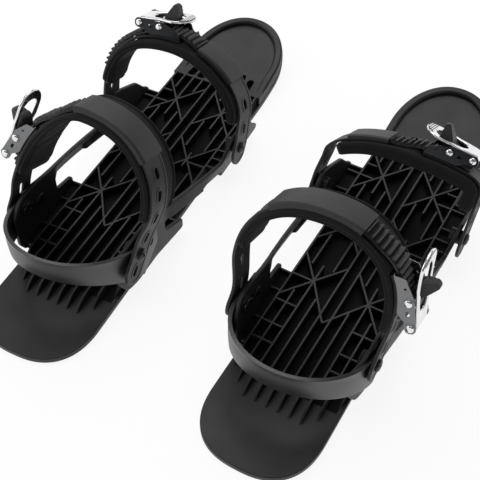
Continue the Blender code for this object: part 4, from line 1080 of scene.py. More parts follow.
def wing_floors(side, edge):
    """Return the floors of one side's wings and the webs at their ends."""
    low = WING_BOTTOM + 0.4 * MM
    rear = [(SIDE_X, REAR_WING[0] + 1 * MM), (WAIST_X - WALL + LAP, REAR_WING[0] + 1 * MM),
            (WAIST_X - WALL + LAP, WAIST_END), (REAR_WALL_X - WALL + LAP, WAIST_START),
            (REAR_WALL_X - WALL + LAP, REAR_WING[1] - LAP), (SIDE_X, REAR_WING[1] - LAP)]
    front = [(SIDE_X, FRONT_WING[0] + LAP), (FRONT_WALL_X - WALL + LAP, FRONT_WING[0] + LAP),
             (FRONT_WALL_X - WALL + LAP, FRONT_WING[1] - 1 * MM), (SIDE_X, FRONT_WING[1] - 1 * MM)]
    pieces = []
    for outline in (rear, front):
        shape = slab([[(side * x, y) for x, y in outline]], WING_FLOOR, edge)
        bmesh.ops.translate(shape, vec=(0, 0, low + WING_FLOOR / 2), verts=shape.verts[:])
        # The wing floor's top gets painted shade, the darker cells finish.
        pieces.append(shaded(shape, lambda face: face.normal.z > 0.6))
    webs = ((REAR_WING[0] + 3 * MM, WAIST_X), (REAR_WING[1] - 2 * MM, REAR_WALL_X),
            (FRONT_WING[0] + 2 * MM, FRONT_WALL_X), (FRONT_WING[1] - 3 * MM, FRONT_WALL_X))
    for y, outer in webs:
        ends = sorted((side * SIDE_X, side * (outer - WALL + LAP)))
        web = block((ends[0], y - RIB / 2, WING_BOTTOM + 0.8 * MM), (ends[1], y + RIB / 2, RIB_TOP - 0.4 * MM))
        round_edges(web, edge)
        pieces.append(web)
    return pieces


def screw_bosses(side):
    """Return one side's round bosses that carry the straps' screws."""
    ankle_face = ANKLE.lug_x - STRAP / 2 - GAP
    toe_face = TOE.lug_x - STRAP / 2 - GAP
    inner = WAIST_X - WALL + LAP
    rounds = ((ANKLE, inner, ankle_face, ANKLE_BOSS_RADIUS), (ANKLE, inner, NUT_SEAT_X, NUT_FLANGE_RADIUS + 0.5 * MM),
              (TOE, toe_face - TOE_SCREW_DEPTH - 2 * MM, toe_face, TOE_BOSS_RADIUS))
    pieces = []
    for shape_of, start, end, radius in rounds:
        reach, soft = abs(end - start), 0.6 * MM
        profile = [(0.0, reach), (radius - soft, reach), (radius - 0.2 * soft, reach - 0.3 * soft),
                   (radius, reach - soft), (radius, 0.0), (0.0, 0.0)]
        way = side if end > start else -side
        pieces.append(turned(profile, (side * start, shape_of.pivot_y, shape_of.pivot_z), (way, 0, 0)))
    return pieces


class SKIBOARDS_OT_decks(bpy.types.Operator):
    """Make the decks: plate, tip, ribs, walls, rails and bosses, each with its own rounded edges"""

    bl_idname = "skiboards.decks"
    bl_label = "Decks"

    def execute(self, context):
        edge = context.scene.skiboard_sizes.deck_edge
        for side in BUCKLE_SIDE:
            parts = [base_plate(edge), tip_skin(edge), tip_rim(), *rib_grid(edge)]
            for way in (-1, 1):
                parts += [side_wall(way, edge), *wing_floors(way, edge), *screw_bosses(way)]
            # The second finish is painted shade on the cell floors, wing floors and rib sides.
            add_piece(side, "deck", "moulding", together(parts), "board", ("deck", "cells"), "black_plastic")
        return {"FINISHED"}


def loop_half_width(y, offset):
    """Return half the heel loop's width at y, on a face offset from its middle line."""
    middle = WAIST_X + GAP + LOOP_THICKNESS / 2
    share = held((LOOP_BEND - y) / (LOOP_BEND - LOOP_REAR + offset))
    return (middle + offset) * (1 - share ** LOOP_SQUARENESS) ** (1 / LOOP_SQUARENESS)


def loop_path():
    """Return (length, x, y) along the heel loop's middle line, from its middle to its front end."""
    middle_x = WAIST_X + GAP + LOOP_THICKNESS / 2
    quarter = superellipse(middle_x, LOOP_BEND - LOOP_REAR, LOOP_SQUARENESS, 60)
    return measured([(x, LOOP_BEND - y) for x, y in reversed(quarter)] + [(middle_x, LOOP_FRONT)])


def loop_edge(y, upper):
    """Return the height of the heel loop's upper or lower edge at y."""
    back, side = LOOP_BACK[upper], LOOP_SIDE[upper]
    if y <= LOOP_BEND:
        return back + (side - back) * (y - LOOP_REAR) / (LOOP_BEND - LOOP_REAR)
    front = side if upper else LOOP_FRONT_LOW
    return side + (front - side) * (y - LOOP_BEND) / (LOOP_FRONT - LOOP_BEND)


class SKIBOARDS_OT_heel_loops(bpy.types.Operator):
    """Make the bands that cup the heels"""

    bl_idname = "skiboards.heel_loops"
    bl_label = "Heel loops"

    def execute(self, context):
        sizes = context.scene.skiboard_sizes
        path = loop_path()
        total = path[-1][0]
        tall = LOOP_FLAT_HEIGHT
        for side in BUCKLE_SIDE:
            loops = [rounded_box(-total, total, 0, tall, 1.5 * MM)]
            for way in (-1, 1):
                for (y, z), radius in ((LOOP_SCREW, SCREW_RADIUS + GAP),
                                       ((ANKLE.pivot_y, ANKLE.pivot_z), ANKLE_BOSS_RADIUS + GAP)):
                    low, high = loop_edge(y, False), loop_edge(y, True)
                    squeeze = tall / (high - low)
                    middle = (z - low) * squeeze
                    loops.append([(x, middle + (v - middle) * squeeze)
                                  for x, v in circle(way * (total - (LOOP_FRONT - y)), middle, radius)])
            shape = slab(loops, LOOP_THICKNESS, sizes.strap_edge, 3)
            cut_across(shape, spaced(-total, total, 2.2 * MM))
            cut_across(shape, [tall * i / 8 for i in range(1, 8)], 1)

            def place(corner):
                point, run = along_path(path, abs(corner.x))
                way = 1 if corner.x >= 0 else -1
                low, high = loop_edge(point.y, False), loop_edge(point.y, True)
                share = corner.y / tall
                lip = LOOP_LIP * eased((share - 0.86) / 0.08)
                belly = LOOP_BELLY * math.sin(math.pi * share)
                offset = corner.z + (lip + belly if corner.z > 0 else belly)
                out = Vector((run.y, -run.x))
                spot = point + out * (-offset if out.x < 0 else offset)
                return Vector((way * spot.x, spot.y, low + (high - low) * share))

            bend(shape, place)
            face_outward(shape)
            add_piece(side, "heel_loop", "band", shape, "board", "loop", "soft_plastic")
        return {"FINISHED"}


def side_strap(arch, side, end, sizes):
    """Return the slotted strap from one lug up to the length `end`, with its raised border."""
    lug, pivot = arch.end_length(side), arch.pivot_length(side)
    start, stop = sorted((lug, end))
    half = STRAP_WIDTH / 2
    outline = [(end, side * half), (end, -side * half), *arc(lug - side * half, 0.0, side * half, -90, 180, 16)]
    loops = [outline, circle(pivot, 0.0, SCREW_RADIUS + GAP)]
    for height in arch.shape.slots:
        middle = pivot - side * height
        if start + SLOT_LENGTH < middle < stop - SLOT_LENGTH:
            loops.append(round_ended(middle - SLOT_LENGTH / 2, middle + SLOT_LENGTH / 2, SLOT_WIDTH))
    shape = slab(loops, STRAP, sizes.strap_edge)
    upper = [face for face in shape.faces if face.normal.z > 0.99]
    bmesh.ops.inset_region(shape, faces=upper, thickness=sizes.strap_border, use_even_offset=True)
    upper = [face for face in upper if face.is_valid]
    bmesh.ops.inset_region(shape, faces=upper, thickness=0.4 * MM, depth=-sizes.strap_recess,
                           use_even_offset=True)
    cut_across(shape, spaced(start, stop, 2 * MM))
    bend(shape, lambda c: arch.place(c.x, c.y, c.z))
    face_outward(shape)
    return shape


class SKIBOARDS_OT_side_straps(bpy.types.Operator):
    """Make the slotted straps and the straps that carry the ratchets"""

    bl_idname = "skiboards.side_straps"
    bl_label = "Side straps"

    def execute(self, context):
        sizes = context.scene.skiboard_sizes
        for arch in ARCHES:
            ends = (("slotted_strap", -1, arch.shape.joint - GAP / 2),
                    ("buckle_strap", 1, arch.shape.buckle_at - BUCKLE_FRONT + 1 * MM))
            for name, side, end in ends:
                arch.add(name, "moulding", side_strap(arch, side, end, sizes), "strap", "soft_plastic")
        return {"FINISHED"}


def ladder_climb(shape_of, s):
    """Return how far the toothed strap has climbed at a length: up into the ratchet, then down onto its strap."""
    top = shape_of.buckle_at - BUCKLE_FRONT - 1 * MM
    foot = max(shape_of.sleeve_end, top - CLIMB)
    rise = (STRAP + GAP + SHEET + GAP) * eased((s - foot) / (top - foot))
    return rise - (SHEET + GAP - 0.1 * MM) * eased((s - shape_of.buckle_at - BASE_REAR - 1 * MM) / (7 * MM))


class SKIBOARDS_OT_toothed_straps(bpy.types.Operator):
    """Make the toothed straps that run through the ratchets"""

    bl_idname = "skiboards.toothed_straps"
    bl_label = "Toothed straps"

    def execute(self, context):
        for arch in ARCHES:
            shape_of = arch.shape
            start, end = shape_of.joint + GAP / 2, shape_of.ladder_end
            teeth_start = shape_of.joint + 8 * MM
            count = int((end - 4 * MM - teeth_start) / TOOTH_PITCH)
            half = LADDER_WIDTH / 2
            band = slab([rounded_box(start, end, -half, half, 3 * MM)], LADDER_BODY, 0.4 * MM)
            bmesh.ops.translate(band, vec=(0, 0, LADDER_BODY / 2), verts=band.verts[:])
            cut_across(band, spaced(start, end, 2 * MM))
            # The band's whole top gets painted shade, the darker cells finish, to darken the gaps between the teeth.
            parts = [shaded(band, lambda face: face.normal.z > 0.6)]
            for i in range(1, count + 1):
                root = teeth_start + i * TOOTH_PITCH
                hidden = root < shape_of.sleeve_end + 1 * MM
                inside = -BUCKLE_FRONT - 1 * MM < root - shape_of.buckle_at < BASE_REAR + TOOTH_PITCH
                crest = LADDER_BODY + TOOTH + (0.0 if hidden or inside else OPEN_TOOTH)
                outline = [(root - 3.2 * MM, LADDER_BODY - 0.5 * MM), (root - 0.4 * MM, LADDER_BODY - 0.5 * MM),
                           (root - 0.9 * MM, crest), (root - 1.9 * MM, crest),
                           (root - 3.2 * MM, LADDER_BODY + 0.2 * MM)]
                tooth = slab([outline], LADDER_WIDTH - 1.4 * MM, 0.22 * MM, 2, 40)
                bend(tooth, lambda c: Vector((c.x, c.z, c.y)))
                parts.append(tooth)
            shape = together(parts)

            def place(corner):
                return arch.place(corner.x, corner.y, corner.z - STRAP / 2 + ladder_climb(shape_of, corner.x))

            bend(shape, place)
            arch.add("ladder_strap", "moulding", shape, ("strap", "cells"), "soft_plastic")
        return {"FINISHED"}


class SKIBOARDS_OT_sleeves(bpy.types.Operator):
    """Make the sleeves that cover the straps' joints"""

    bl_idname = "skiboards.sleeves"
    bl_label = "Sleeves"

    def execute(self, context):
        for arch in ARCHES:
            shape_of = arch.shape
            start, end = shape_of.sleeve_start, shape_of.sleeve_end
            middle = (start + end) / 2
            inner = STRAP_WIDTH / 2 + GAP
            outer = inner + SLEEVE_WALL
            low = -STRAP / 2
            ceiling = STRAP / 2 + SLEEVE_ROOM + GAP
            top = ceiling + SLEEVE_WALL
            section = [(-inner, low), (-inner, ceiling), (inner, ceiling), (inner, low), (outer, low),
                       (outer, top - 1.3 * MM), (outer - 1.5 * MM, top - 0.1 * MM), (0.0, top + 0.1 * MM),
                       (1.5 * MM - outer, top - 0.1 * MM), (-outer, top - 1.3 * MM), (-outer, low)]
            shape = slab([section], end - start, 0.35 * MM, 2, 25)
            cut_across(shape, spaced(start - middle, end - middle, 2 * MM), 2)
            bend(shape, lambda c: arch.place(c.z + middle, c.x, c.y))
            face_outward(shape)
            arch.add("sleeve", "moulding", shape, "strap", "soft_plastic")
        return {"FINISHED"}


def inflate(piece, rest, limits):
    """Let the stuffing push the cloth out, no further than each corner's limit, and keep the result."""
    cloth = piece.modifiers.new("stuffing", "CLOTH")
    settings = cloth.settings
    settings.quality = 6
    settings.mass = 0.3
    settings.tension_stiffness = settings.compression_stiffness = 25
    settings.shear_stiffness = 15
    settings.bending_stiffness = 2
    settings.use_pressure = True
    settings.uniform_pressure_force = STUFFING_PRESSURE
    settings.effector_weights.gravity = 0
    scene = bpy.context.scene
    for number in range(1, STUFFING_FRAMES + 1):
        scene.frame_set(number)
    puffed = piece.evaluated_get(bpy.context.evaluated_depsgraph_get())
    moved = [corner.co.copy() for corner in puffed.data.vertices]
    piece.modifiers.remove(cloth)
    scene.frame_set(1)
    for corner, start, spot, limit in zip(piece.data.vertices, rest, moved, limits):
        run = spot - start
        corner.co = start + (run * min(1.0, limit / run.length) if run.length > 0 else run)


class SKIBOARDS_OT_pads(bpy.types.Operator):
    """Make the stuffed pads under the straps, with a sewn seam around their rims"""

    bl_idname = "skiboards.pads"
    bl_label = "Pads"

    def execute(self, context):
        sizes = context.scene.skiboard_sizes
        for arch in ARCHES:
            self.make(arch, sizes)
        return {"FINISHED"}

    def make(self, arch, sizes):
        """Make one strap's pad."""
        shape_of = arch.shape
        start = arch.pivot_length(-1) + shape_of.pad_plain_start + PAD_EASE
        end = arch.pivot_length(1) - shape_of.pad_buckle_start - PAD_EASE
        rear, front = PAD_PROUD[arch.label] - shape_of.pad_rear, shape_of.pad_front - PAD_EASE
        thick = shape_of.pad - 0.8 * MM
        outline = rounded_box(start, end, rear, front, PAD_ROUND, 8)
        shape = slab([outline], thick, min(1.9 * MM, thick * 0.3), 3, 60, lies_flat)
        cut_across(shape, spaced(start, end, 2.6 * MM))
        rows = [1.2, 2.6, 3.6, 4.6, 6.4]
        cut_across(shape, sorted([rear + r * MM for r in rows] + [front - r * MM for r in rows]
                                 + spaced(rear + 6.4 * MM, front - 6.4 * MM, 3 * MM)), 1)
        cut_across(shape, [-0.9 * MM, 0.0, 0.9 * MM], 2)
        chart = shape.loops.layers.uv.new("Cloth")
        for face in shape.faces:
            tilt = 1 if face.normal.z > 0 else -1
            for loop in face.loops:
                spot = loop.vert.co
                across = spot.y if abs(face.normal.z) > 0.5 else spot.y + tilt * spot.z
                loop[chart].uv = (spot.x / MM, across / MM)
        middle = -STRAP / 2 - PAD_GAP - shape_of.pad / 2
        flats, seams = [], []
        for corner in shape.verts:
            s, w, n = corner.co
            inset = min(s - start, end - s, w - rear, front - w)
            channel = math.exp(-((inset - SEAM_INSET) / (0.9 * MM)) ** 2) * (0.7 if n < 0 else 0.8)
            waist = math.exp(-(n / (0.7 * MM)) ** 2) if inset < 1.0 * MM else 0.0
            seams.append((channel, waist))
            flats.append((s, w, n))
        tongue = shape_of.buckle_at - BUCKLE_FRONT + 1 * MM

        def place(corner):
            s, w, n = corner
            if n > thick * 0.3:
                rim = min(w - rear, front - w)
                piping = math.exp(-((rim - PIPING_INSET) / (1.3 * MM)) ** 2) * eased((abs(w) - 12.4 * MM) / (1 * MM))
                piping *= eased((s - start) / (6 * MM)) * eased((end - s) / (6 * MM))
                under = 0.92 * ladder_climb(shape_of, s) * eased((tongue - 0.8 * MM - s) / (3 * MM))
                n += PIPING * piping + under * eased((STRAP_WIDTH / 2 + 2 * MM - abs(w)) / (3 * MM))
            return arch.place(s, w, n + middle)

        bend(shape, place)
        face_outward(shape)
        piece = arch.add("pad", "cushion", shape, "cloth", "pad_fabric", sharp=180, even=False)
        rest = [corner.co.copy() for corner in piece.data.vertices]
        limits = [UNDER_STRAP_SWELL if n > thick * 0.3 else sizes.pad_swell for _, _, n in flats]
        inflate(piece, rest, limits)
        normals = [corner.normal.copy() for corner in piece.data.vertices]
        for corner, normal, (channel, waist) in zip(piece.data.vertices, normals, seams):
            corner.co -= normal * sizes.pad_seam * max(channel, waist)
        surface = piece.modifiers.new("soft surface", "SUBSURF")
        surface.levels = surface.render_levels = 1


def ratchet_profile(ratchet, loops, width, middle, rounding):
    """Return a body of an outline in (t, n), extruded across the ratchet."""
    shape = slab(loops, width, rounding)
    bend(shape, lambda c: ratchet.place(c.x, c.y, c.z + middle))
    face_outward(shape)
    return shape


class SKIBOARDS_OT_ratchet_plates(bpy.types.Operator):
    """Make the folded sheet-metal bodies of the ratchets"""

    bl_idname = "skiboards.ratchet_plates"
    bl_label = "Ratchet plates"

    def execute(self, context):
        for arch in ARCHES:
            ratchet = arch.ratchet
            half = CHEEK_ROOM + SHEET * 0.7
            low = STRAP / 2 + GAP
            start, end = arch.shape.buckle_at - BUCKLE_FRONT, arch.shape.buckle_at + BASE_REAR
            base = slab([rounded_box(start, end, -half, half, 2 * MM)], SHEET, 0.25 * MM)
            cut_across(base, spaced(start, end, 2.4 * MM))
            bend(base, lambda c: arch.place(c.x, c.y, c.z + low + SHEET / 2))
            parts = [base]
            bottom = []
            for i in range(12):
                s = start + 0.5 * MM + (end - start - 1 * MM) * i / 11
                bottom.append(tuple(ratchet.local(arch.place(s, 0.0, low + SHEET * 0.4))))
            outline = [*bottom, *CHEEK_TOP]
            hole = PIN_RADIUS + GAP
            for side in (-1, 1):
                loops = [outline, circle(*PAWL_PIN, hole, 16), circle(*LEVER_PIN, hole, 16),
                         circle(7.4 * MM, 7.4 * MM, 0.9 * MM, 12),
                         round_ended(-13.6 * MM, -9.2 * MM, 2.6 * MM, 6, 8.4 * MM)]
                parts.append(ratchet_profile(ratchet, loops, SHEET, side * (CHEEK_ROOM + SHEET / 2), 0.2 * MM))
                for pin in (PAWL_PIN, LEVER_PIN):
                    collar = turned([(hole, 0.0), (hole + 2.3 * MM, 0.0), (hole + 2.1 * MM, 0.35 * MM),
                                     (hole, 0.35 * MM)],
                                    ratchet.place(*pin, side * (CHEEK_ROOM + SHEET - 0.05 * MM)),
                                    ratchet.width * side, 24)
                    parts.append(collar)
            finish = "steel" if arch.label == "ankle" else "dark_steel"
            arch.add("buckle_plate", "sheet", together(parts), finish, "buckle_steel")
        return {"FINISHED"}


def lever_route(shape_of, share):
    """Return (t, n) on the lever's middle line, a Bezier curve from its pin to its tip."""
    spread = (1 - share) ** 3, 3 * share * (1 - share) ** 2, 3 * share ** 2 * (1 - share), share ** 3
    start, height = LEVER_START
    run = shape_of.lever_reach - start
    ts = (start, start + run / 3, start + run * 2 / 3, shape_of.lever_reach)
    ns = (height, *LEVER_CREST, shape_of.lever_rise)
    return Vector((sum(a * b for a, b in zip(spread, ts)), sum(a * b for a, b in zip(spread, ns))))


class SKIBOARDS_OT_ring_levers(bpy.types.Operator):
    """Make the chromed ring levers with their ribbed tips"""

    bl_idname = "skiboards.ring_levers"
    bl_label = "Ring levers"

    def execute(self, context):
        ribs = context.scene.skiboard_sizes.lever_ribs
        for arch in ARCHES:
            ratchet = arch.ratchet
            count = 60
            spots = [lever_route(arch.shape, i / count) for i in range(count + 1)]
            lengths = [0.0]
            for near, after in zip(spots, spots[1:]):
                lengths.append(lengths[-1] + (after - near).length)
            total = lengths[-1]
            half = LEVER_WIDTH / 2
            ring = RING_WIDTH / 2
            flank = [(0.0, half * 0.8), (6 * MM, half * 0.93), (12 * MM, half)]
            flank += [(x * MM, half + (ring - half) * eased((x - 20) / 12)) for x in range(20, 33, 2)]
            half_turn = [math.pi * i / 20 for i in range(21)]
            outline = [(x, -w) for x, w in flank]
            outline += [(total - RING_ROUND + RING_ROUND * math.sin(a), -ring * math.cos(a)) for a in half_turn]
            outline += reversed(flank)
            near, far = LEVER_HOLE_WIDTH / 2, RING_HOLE_WIDTH / 2
            hole = [(LEVER_HOLE_START + near - near * math.sin(a), near * math.cos(a)) for a in half_turn]
            hole += [(total - LEVER_HOLE_MARGIN - far + far * math.sin(a), -far * math.cos(a)) for a in half_turn]
            sheet = slab([outline, hole], LEVER_BAR, 1.1 * MM, 4, 50, lies_flat)
            cut_across(sheet, spaced(0.0, total, 1.6 * MM))
            grip = total - LEVER_HOLE_MARGIN + 0.7 * MM
            cut_across(sheet, [grip])
            # The sheet's top under and between the grip ribs gets painted groove shade in the dark steel finish.
            parts = [shaded(sheet, lambda face: face.normal.z > 0.6 and face.calc_center_median().x > grip)]
            for i in range(ribs):
                x = total - LEVER_HOLE_MARGIN + GRIP_START + GRIP_PITCH * i
                reach = ring * math.sqrt(max(0.1, 1 - ((x - total + RING_ROUND) / RING_ROUND) ** 2)) - 2 * MM
                rib = slab([round_ended(-reach, reach, 0.9 * MM, 4)], 0.9 * MM, 0.3 * MM)
                bend(rib, lambda c: Vector((x + c.y, c.x, c.z + LEVER_BAR / 2)))
                parts.append(rib)
            lever = together(parts)

            def place(corner):
                length = min(total, max(0.0, corner.x))
                i = min(count - 1, max(j for j in range(count) if lengths[j] <= length))
                share = (length - lengths[i]) / (lengths[i + 1] - lengths[i])
                middle = spots[i].lerp(spots[i + 1], share)
                run = (spots[min(count, i + 2)] - spots[max(0, i - 1)]).normalized()
                spot = middle + Vector((-run.y, run.x)) * corner.z
                return ratchet.place(spot.x, spot.y, corner.y)

            bend(lever, place)
            eye = [circle(*LEVER_PIN, KNUCKLE_RADIUS, 28), circle(*LEVER_PIN, PIN_RADIUS + GAP, 20)]
            knuckle = ratchet_profile(ratchet, eye, LEVER_WIDTH, 0.0, 0.4 * MM)
            # The lever's second finish is painted groove shade, in the dark steel finish.
            arch.add("lever", "ring", together([lever, knuckle]), ("chrome", "dark_steel"), "chrome", "ratchet_lever")
        return {"FINISHED"}


class SKIBOARDS_OT_release_tabs(bpy.types.Operator):
    """Make the ribbed release tabs with their pawls"""

    bl_idname = "skiboards.release_tabs"
    bl_label = "Release tabs"

    def execute(self, context):
        for arch in ARCHES:
            ratchet = arch.ratchet
            tail = STRAP / 2 + GAP + SHEET + GAP + LADDER_BODY + TOOTH + 0.2 * MM
            outline = [(-9.5 * MM, tail), (-6.5 * MM, tail), *points((0.5, 6.9), (3, 9.5), (8, 14))]
            for i in range(6):
                outline.append((9.4 * MM + (0.4 if i % 2 else -0.1) * MM, (16.2 + 1.7 * i) * MM))
            outline += points((9, 26.4), (7.2, 27.6), (5.4, 27.2), (4.4, 26), (0.6, 20), (-3.6, 12.5), (-6.4, 10))
            shape = slab([outline, circle(*PAWL_PIN, PIN_RADIUS + GAP, 16)], PAWL_WIDTH)
            cut_across(shape, [h * MM for h in range(14, 27, 2)], 1)

            def taper(corner):
                share = held((corner.y - 13 * MM) / (14.6 * MM))
                return Vector((corner.x, corner.y, corner.z * (1.25 - 0.75 * share ** 1.6 if share > 0 else 1)))

            bend(shape, taper)
            round_edges(shape, 0.55 * MM, 3, 40)
            bend(shape, lambda c: ratchet.place(c.x, c.y, c.z))
            face_outward(shape)
            arch.add("release_pawl", "tab", shape, "strap", "black_plastic", "ratchet_release")
        return {"FINISHED"}


class SKIBOARDS_OT_pins(bpy.types.Operator):
    """Make the domed rivet pins and the springs around the pawls' pins"""

    bl_idname = "skiboards.pins"
    bl_label = "Pins and springs"

    def execute(self, context):
        head = CHEEK_ROOM + SHEET + GAP
        half = dome(PIN_HEAD_RADIUS, head + 0.3 * MM, head + PIN_HEAD, 7)
        half += [(PIN_HEAD_RADIUS, head), (PIN_RADIUS, head)]
        profile = half + [(radius, -height) for radius, height in reversed(half)]
        for arch in ARCHES:
            ratchet = arch.ratchet
            for name, pin in (("lever_pin", LEVER_PIN), ("pawl_pin", PAWL_PIN)):
                rivet = turned(profile, ratchet.place(*pin), ratchet.width)
                arch.add(name, "rivet", rivet, "chrome", "chrome")
            for way, word in ((-1, "rear"), (1, "front")):
                start, end = sorted(way * reach for reach in SPRING_ENDS)
                spring = coil(ratchet.place(*PAWL_PIN), ratchet.width, start, end)
                arch.add(word, "spring", spring, "steel", "buckle_steel", spare=True)
        return {"FINISHED"}


def dome(radius, low, high, steps):
    """Return (radius, height) from the crown of a domed head down to its rim."""
    angles = [math.pi / 2 * i / steps for i in range(steps + 1)]
    return [(radius * math.sin(a), low + (high - low) * math.cos(a)) for a in angles]


def screw_shape(center, outward, length, head):
    """Return a screw with a domed head and a cross recess."""
    profile = dome(SCREW_HEAD_RADIUS, head * 0.35, head, 6)
    profile += [(SCREW_HEAD_RADIUS, 0.0), (SCREW_RADIUS, 0.0), (SCREW_RADIUS, -length), (0.0, -length)]
    shape = turned(profile, (0, 0, 0), UP)
    blades = [block((-CROSS_REACH, -CROSS_WIDTH / 2, head * 0.3), (CROSS_REACH, CROSS_WIDTH / 2, head * 2), turn)
              for turn in (CROSS_TURN, CROSS_TURN + math.pi / 2)]
    shape = carved(shape, blades)
    aim(shape, center, outward)
    return shape


def nut_shape(way):
    """Return the serrated T-nut inside one wall."""
    rim = [(x * radius, y * radius) for (x, y), radius in zip(
        circle(0, 0, 1, 2 * NUT_TEETH), (NUT_FLANGE_RADIUS, NUT_FLANGE_RADIUS - NUT_NOTCH) * NUT_TEETH)]
    shape = slab([rim, circle(0, 0, SCREW_RADIUS + GAP)], NUT_FLANGE, 0.18 * MM, 1, 70)
    aim(shape, (way * (NUT_SEAT_X - GAP - NUT_FLANGE / 2), ANKLE.pivot_y, ANKLE.pivot_z), (way, 0, 0))
    return shape


class SKIBOARDS_OT_fasteners(bpy.types.Operator):
    """Make the screws and the serrated nuts"""

    bl_idname = "skiboards.fasteners"
    bl_label = "Screws and nuts"

    def execute(self, context):
        inner = WAIST_X - WALL
        for side, buckle in BUCKLE_SIDE.items():
            for way, word in ((-buckle, "inner"), (buckle, "outer")):
                shape = screw_shape((way * (inner - GAP), *LOOP_SCREW), (-way, 0, 0),
                                    WAIST_X + GAP + LOOP_THICKNESS + GAP - inner, LOOP_SCREW_HEAD)
                self.add(side, f"heel_loop_{word}_screw", shape)
            for label, shape_of, tip in (("ankle", ANKLE, NUT_SEAT_X - GAP - NUT_FLANGE),
                                         ("toe", TOE, TOE.lug_x - STRAP / 2 - TOE_SCREW_DEPTH)):
                outer = shape_of.lug_x + STRAP / 2 + GAP
                for way, word in ((-buckle, "plain"), (buckle, "buckle")):
                    shape = screw_shape((way * outer, shape_of.pivot_y, shape_of.pivot_z), (way, 0, 0),
                                        outer - tip, SCREW_HEAD)
                    self.add(side, f"{label}_{word}_side_screw", shape)
                    if label == "ankle":
                        self.add(side, f"ankle_{word}_side_nut", nut_shape(way))
        return {"FINISHED"}

    def add(self, side, name, shape):
        """Add a screw or nut of one board."""
        add_piece(side, name, "steel", shape, "board", "screw", "buckle_steel")


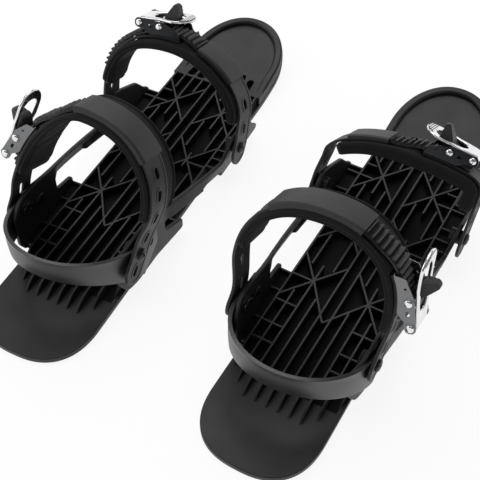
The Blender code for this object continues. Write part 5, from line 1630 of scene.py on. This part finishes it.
class SKIBOARDS_OT_stage(bpy.types.Operator):
    """Make the floor, the lamps and the camera"""

    bl_idname = "skiboards.stage"
    bl_label = "Stage"

    def execute(self, context):
        scene = context.scene
        settings = scene.skiboard_stage
        scene.view_settings.view_transform = "Standard"
        self.floor(scene)
        self.sky(scene)
        self.lamp("key_lamp", settings.key_power, KEY_SPOT, KEY_SIZE)
        self.lamp("fill_lamp", settings.fill_power, FILL_SPOT, FILL_SIZE)
        data = bpy.data.cameras.new("camera")
        data.lens = settings.focal
        data.sensor_width = 36
        data.clip_start = 0.02
        camera = linked("camera", data)
        level = Vector((-math.sin(settings.heading), math.cos(settings.heading), 0))
        ahead = level * math.cos(settings.pitch) - UP * math.sin(settings.pitch)
        right = level.cross(UP)
        above = right.cross(ahead)
        turn = Matrix((right, above, -ahead)).transposed() @ Matrix.Rotation(settings.roll, 3, "Z")
        spot = Vector((settings.camera_x, -settings.camera_back, settings.camera_height))
        camera.matrix_world = Matrix.Translation(spot) @ turn.to_4x4()
        scene.camera = camera
        return {"FINISHED"}

    def floor(self, scene):
        """Make a pale floor that shows white to the camera and still keeps a soft shadow."""
        shape = bmesh.new()
        bmesh.ops.create_grid(shape, x_segments=1, y_segments=1, size=8,
                              matrix=Matrix.Translation((0, 0, -FLOOR_DROP)))
        floor = linked("floor", as_mesh(shape, "floor"))
        paint = bpy.data.materials.new("studio_floor")
        paint.use_nodes = True
        tree = paint.node_tree
        tree.nodes.clear()
        plain = add_node(tree, "ShaderNodeBsdfDiffuse", {"Color": (*scene.skiboard_colours.floor, 1)})
        thin = add_node(tree, "ShaderNodeBsdfDiffuse", {"Color": (FLOOR_SHADE, FLOOR_SHADE, FLOOR_SHADE, 1)})
        glow = add_node(tree, "ShaderNodeEmission", {"Strength": FLOOR_GLOW})
        seen = add_node(tree, "ShaderNodeAddShader", {0: thin.outputs[0], 1: glow.outputs[0]})
        path = add_node(tree, "ShaderNodeLightPath")
        rays = path.outputs["Is Camera Ray"]
        for kind in ("Is Glossy Ray", "Is Transmission Ray"):
            rays = add_node(tree, "ShaderNodeMath", {0: rays, 1: path.outputs[kind]}, operation="MAXIMUM").outputs[0]
        pick = add_node(tree, "ShaderNodeMixShader", {0: rays, 1: plain.outputs[0], 2: seen.outputs[0]})
        add_node(tree, "ShaderNodeOutputMaterial", {"Surface": pick.outputs[0]})
        floor.data.materials.append(paint)

    def sky(self, scene):
        """Light the room evenly: white walls, a darker band above them and a bright ceiling."""
        world = bpy.data.worlds.new("studio")
        scene.world = world
        world.use_nodes = True
        tree = world.node_tree
        tree.nodes.clear()
        place = add_node(tree, "ShaderNodeTexCoord")
        split = add_node(tree, "ShaderNodeSeparateXYZ", {0: place.outputs["Generated"]})
        ramp = add_node(tree, "ShaderNodeValToRGB", {0: split.outputs["Z"]})
        stops = ramp.color_ramp.elements
        stops[0].position, stops[0].color = 0.0, (1, 1, 1, 1)
        stops[1].position, stops[1].color = 1.0, (0.8, 0.8, 0.8, 1)
        for height, level in ROOM_BANDS:
            stops.new(height).color = (level, level, level * 1.02, 1)
        room = add_node(tree, "ShaderNodeBackground", {"Color": ramp.outputs["Color"]})
        add_node(tree, "ShaderNodeOutputWorld", {"Surface": room.outputs[0]})

    def lamp(self, name, power, spot, size):
        """Add a square lamp that points at the middle of the pair."""
        data = bpy.data.lights.new(name, "AREA")
        data.energy = power
        data.shape = "SQUARE"
        data.size = size
        lamp = linked(name, data)
        spot = Vector(spot)
        turn = (LAMP_TARGET - spot).to_track_quat("-Z", "Y").to_matrix().to_4x4()
        lamp.matrix_world = Matrix.Translation(spot) @ turn


class SKIBOARDS_PT_panel(bpy.types.Panel):
    """Lists the pieces and their settings"""

    bl_idname = "SKIBOARDS_PT_panel"
    bl_label = "Skiboards"
    bl_space_type = "VIEW_3D"
    bl_region_type = "UI"
    bl_category = "Skiboards"

    def draw(self, context):
        layout = self.layout
        for operator in OPERATORS:
            layout.operator(operator.bl_idname)
        for group in (context.scene.skiboard_sizes, context.scene.skiboard_colours, context.scene.skiboard_stage):
            box = layout.box()
            for name in group.__annotations__:
                box.prop(group, name)


OPERATORS = (
    SKIBOARDS_OT_finishes,
    SKIBOARDS_OT_stage,
    SKIBOARDS_OT_decks,
    SKIBOARDS_OT_heel_loops,
    SKIBOARDS_OT_side_straps,
    SKIBOARDS_OT_toothed_straps,
    SKIBOARDS_OT_sleeves,
    SKIBOARDS_OT_pads,
    SKIBOARDS_OT_ratchet_plates,
    SKIBOARDS_OT_ring_levers,
    SKIBOARDS_OT_release_tabs,
    SKIBOARDS_OT_pins,
    SKIBOARDS_OT_fasteners,
)
CLASSES = (SkiboardSizes, SkiboardColours, SkiboardStage, *OPERATORS, SKIBOARDS_PT_panel)


def register():
    for cls in CLASSES:
        bpy.utils.register_class(cls)
    bpy.types.Scene.skiboard_sizes = PointerProperty(type=SkiboardSizes)
    bpy.types.Scene.skiboard_colours = PointerProperty(type=SkiboardColours)
    bpy.types.Scene.skiboard_stage = PointerProperty(type=SkiboardStage)


def unregister():
    del bpy.types.Scene.skiboard_stage
    del bpy.types.Scene.skiboard_colours
    del bpy.types.Scene.skiboard_sizes
    for cls in reversed(CLASSES):
        bpy.utils.unregister_class(cls)


def main():
    """Build every piece."""
    register()
    for operator in OPERATORS:
        group, name = operator.bl_idname.split(".")
        getattr(getattr(bpy.ops, group), name)()


if __name__ == "__main__":
    main()
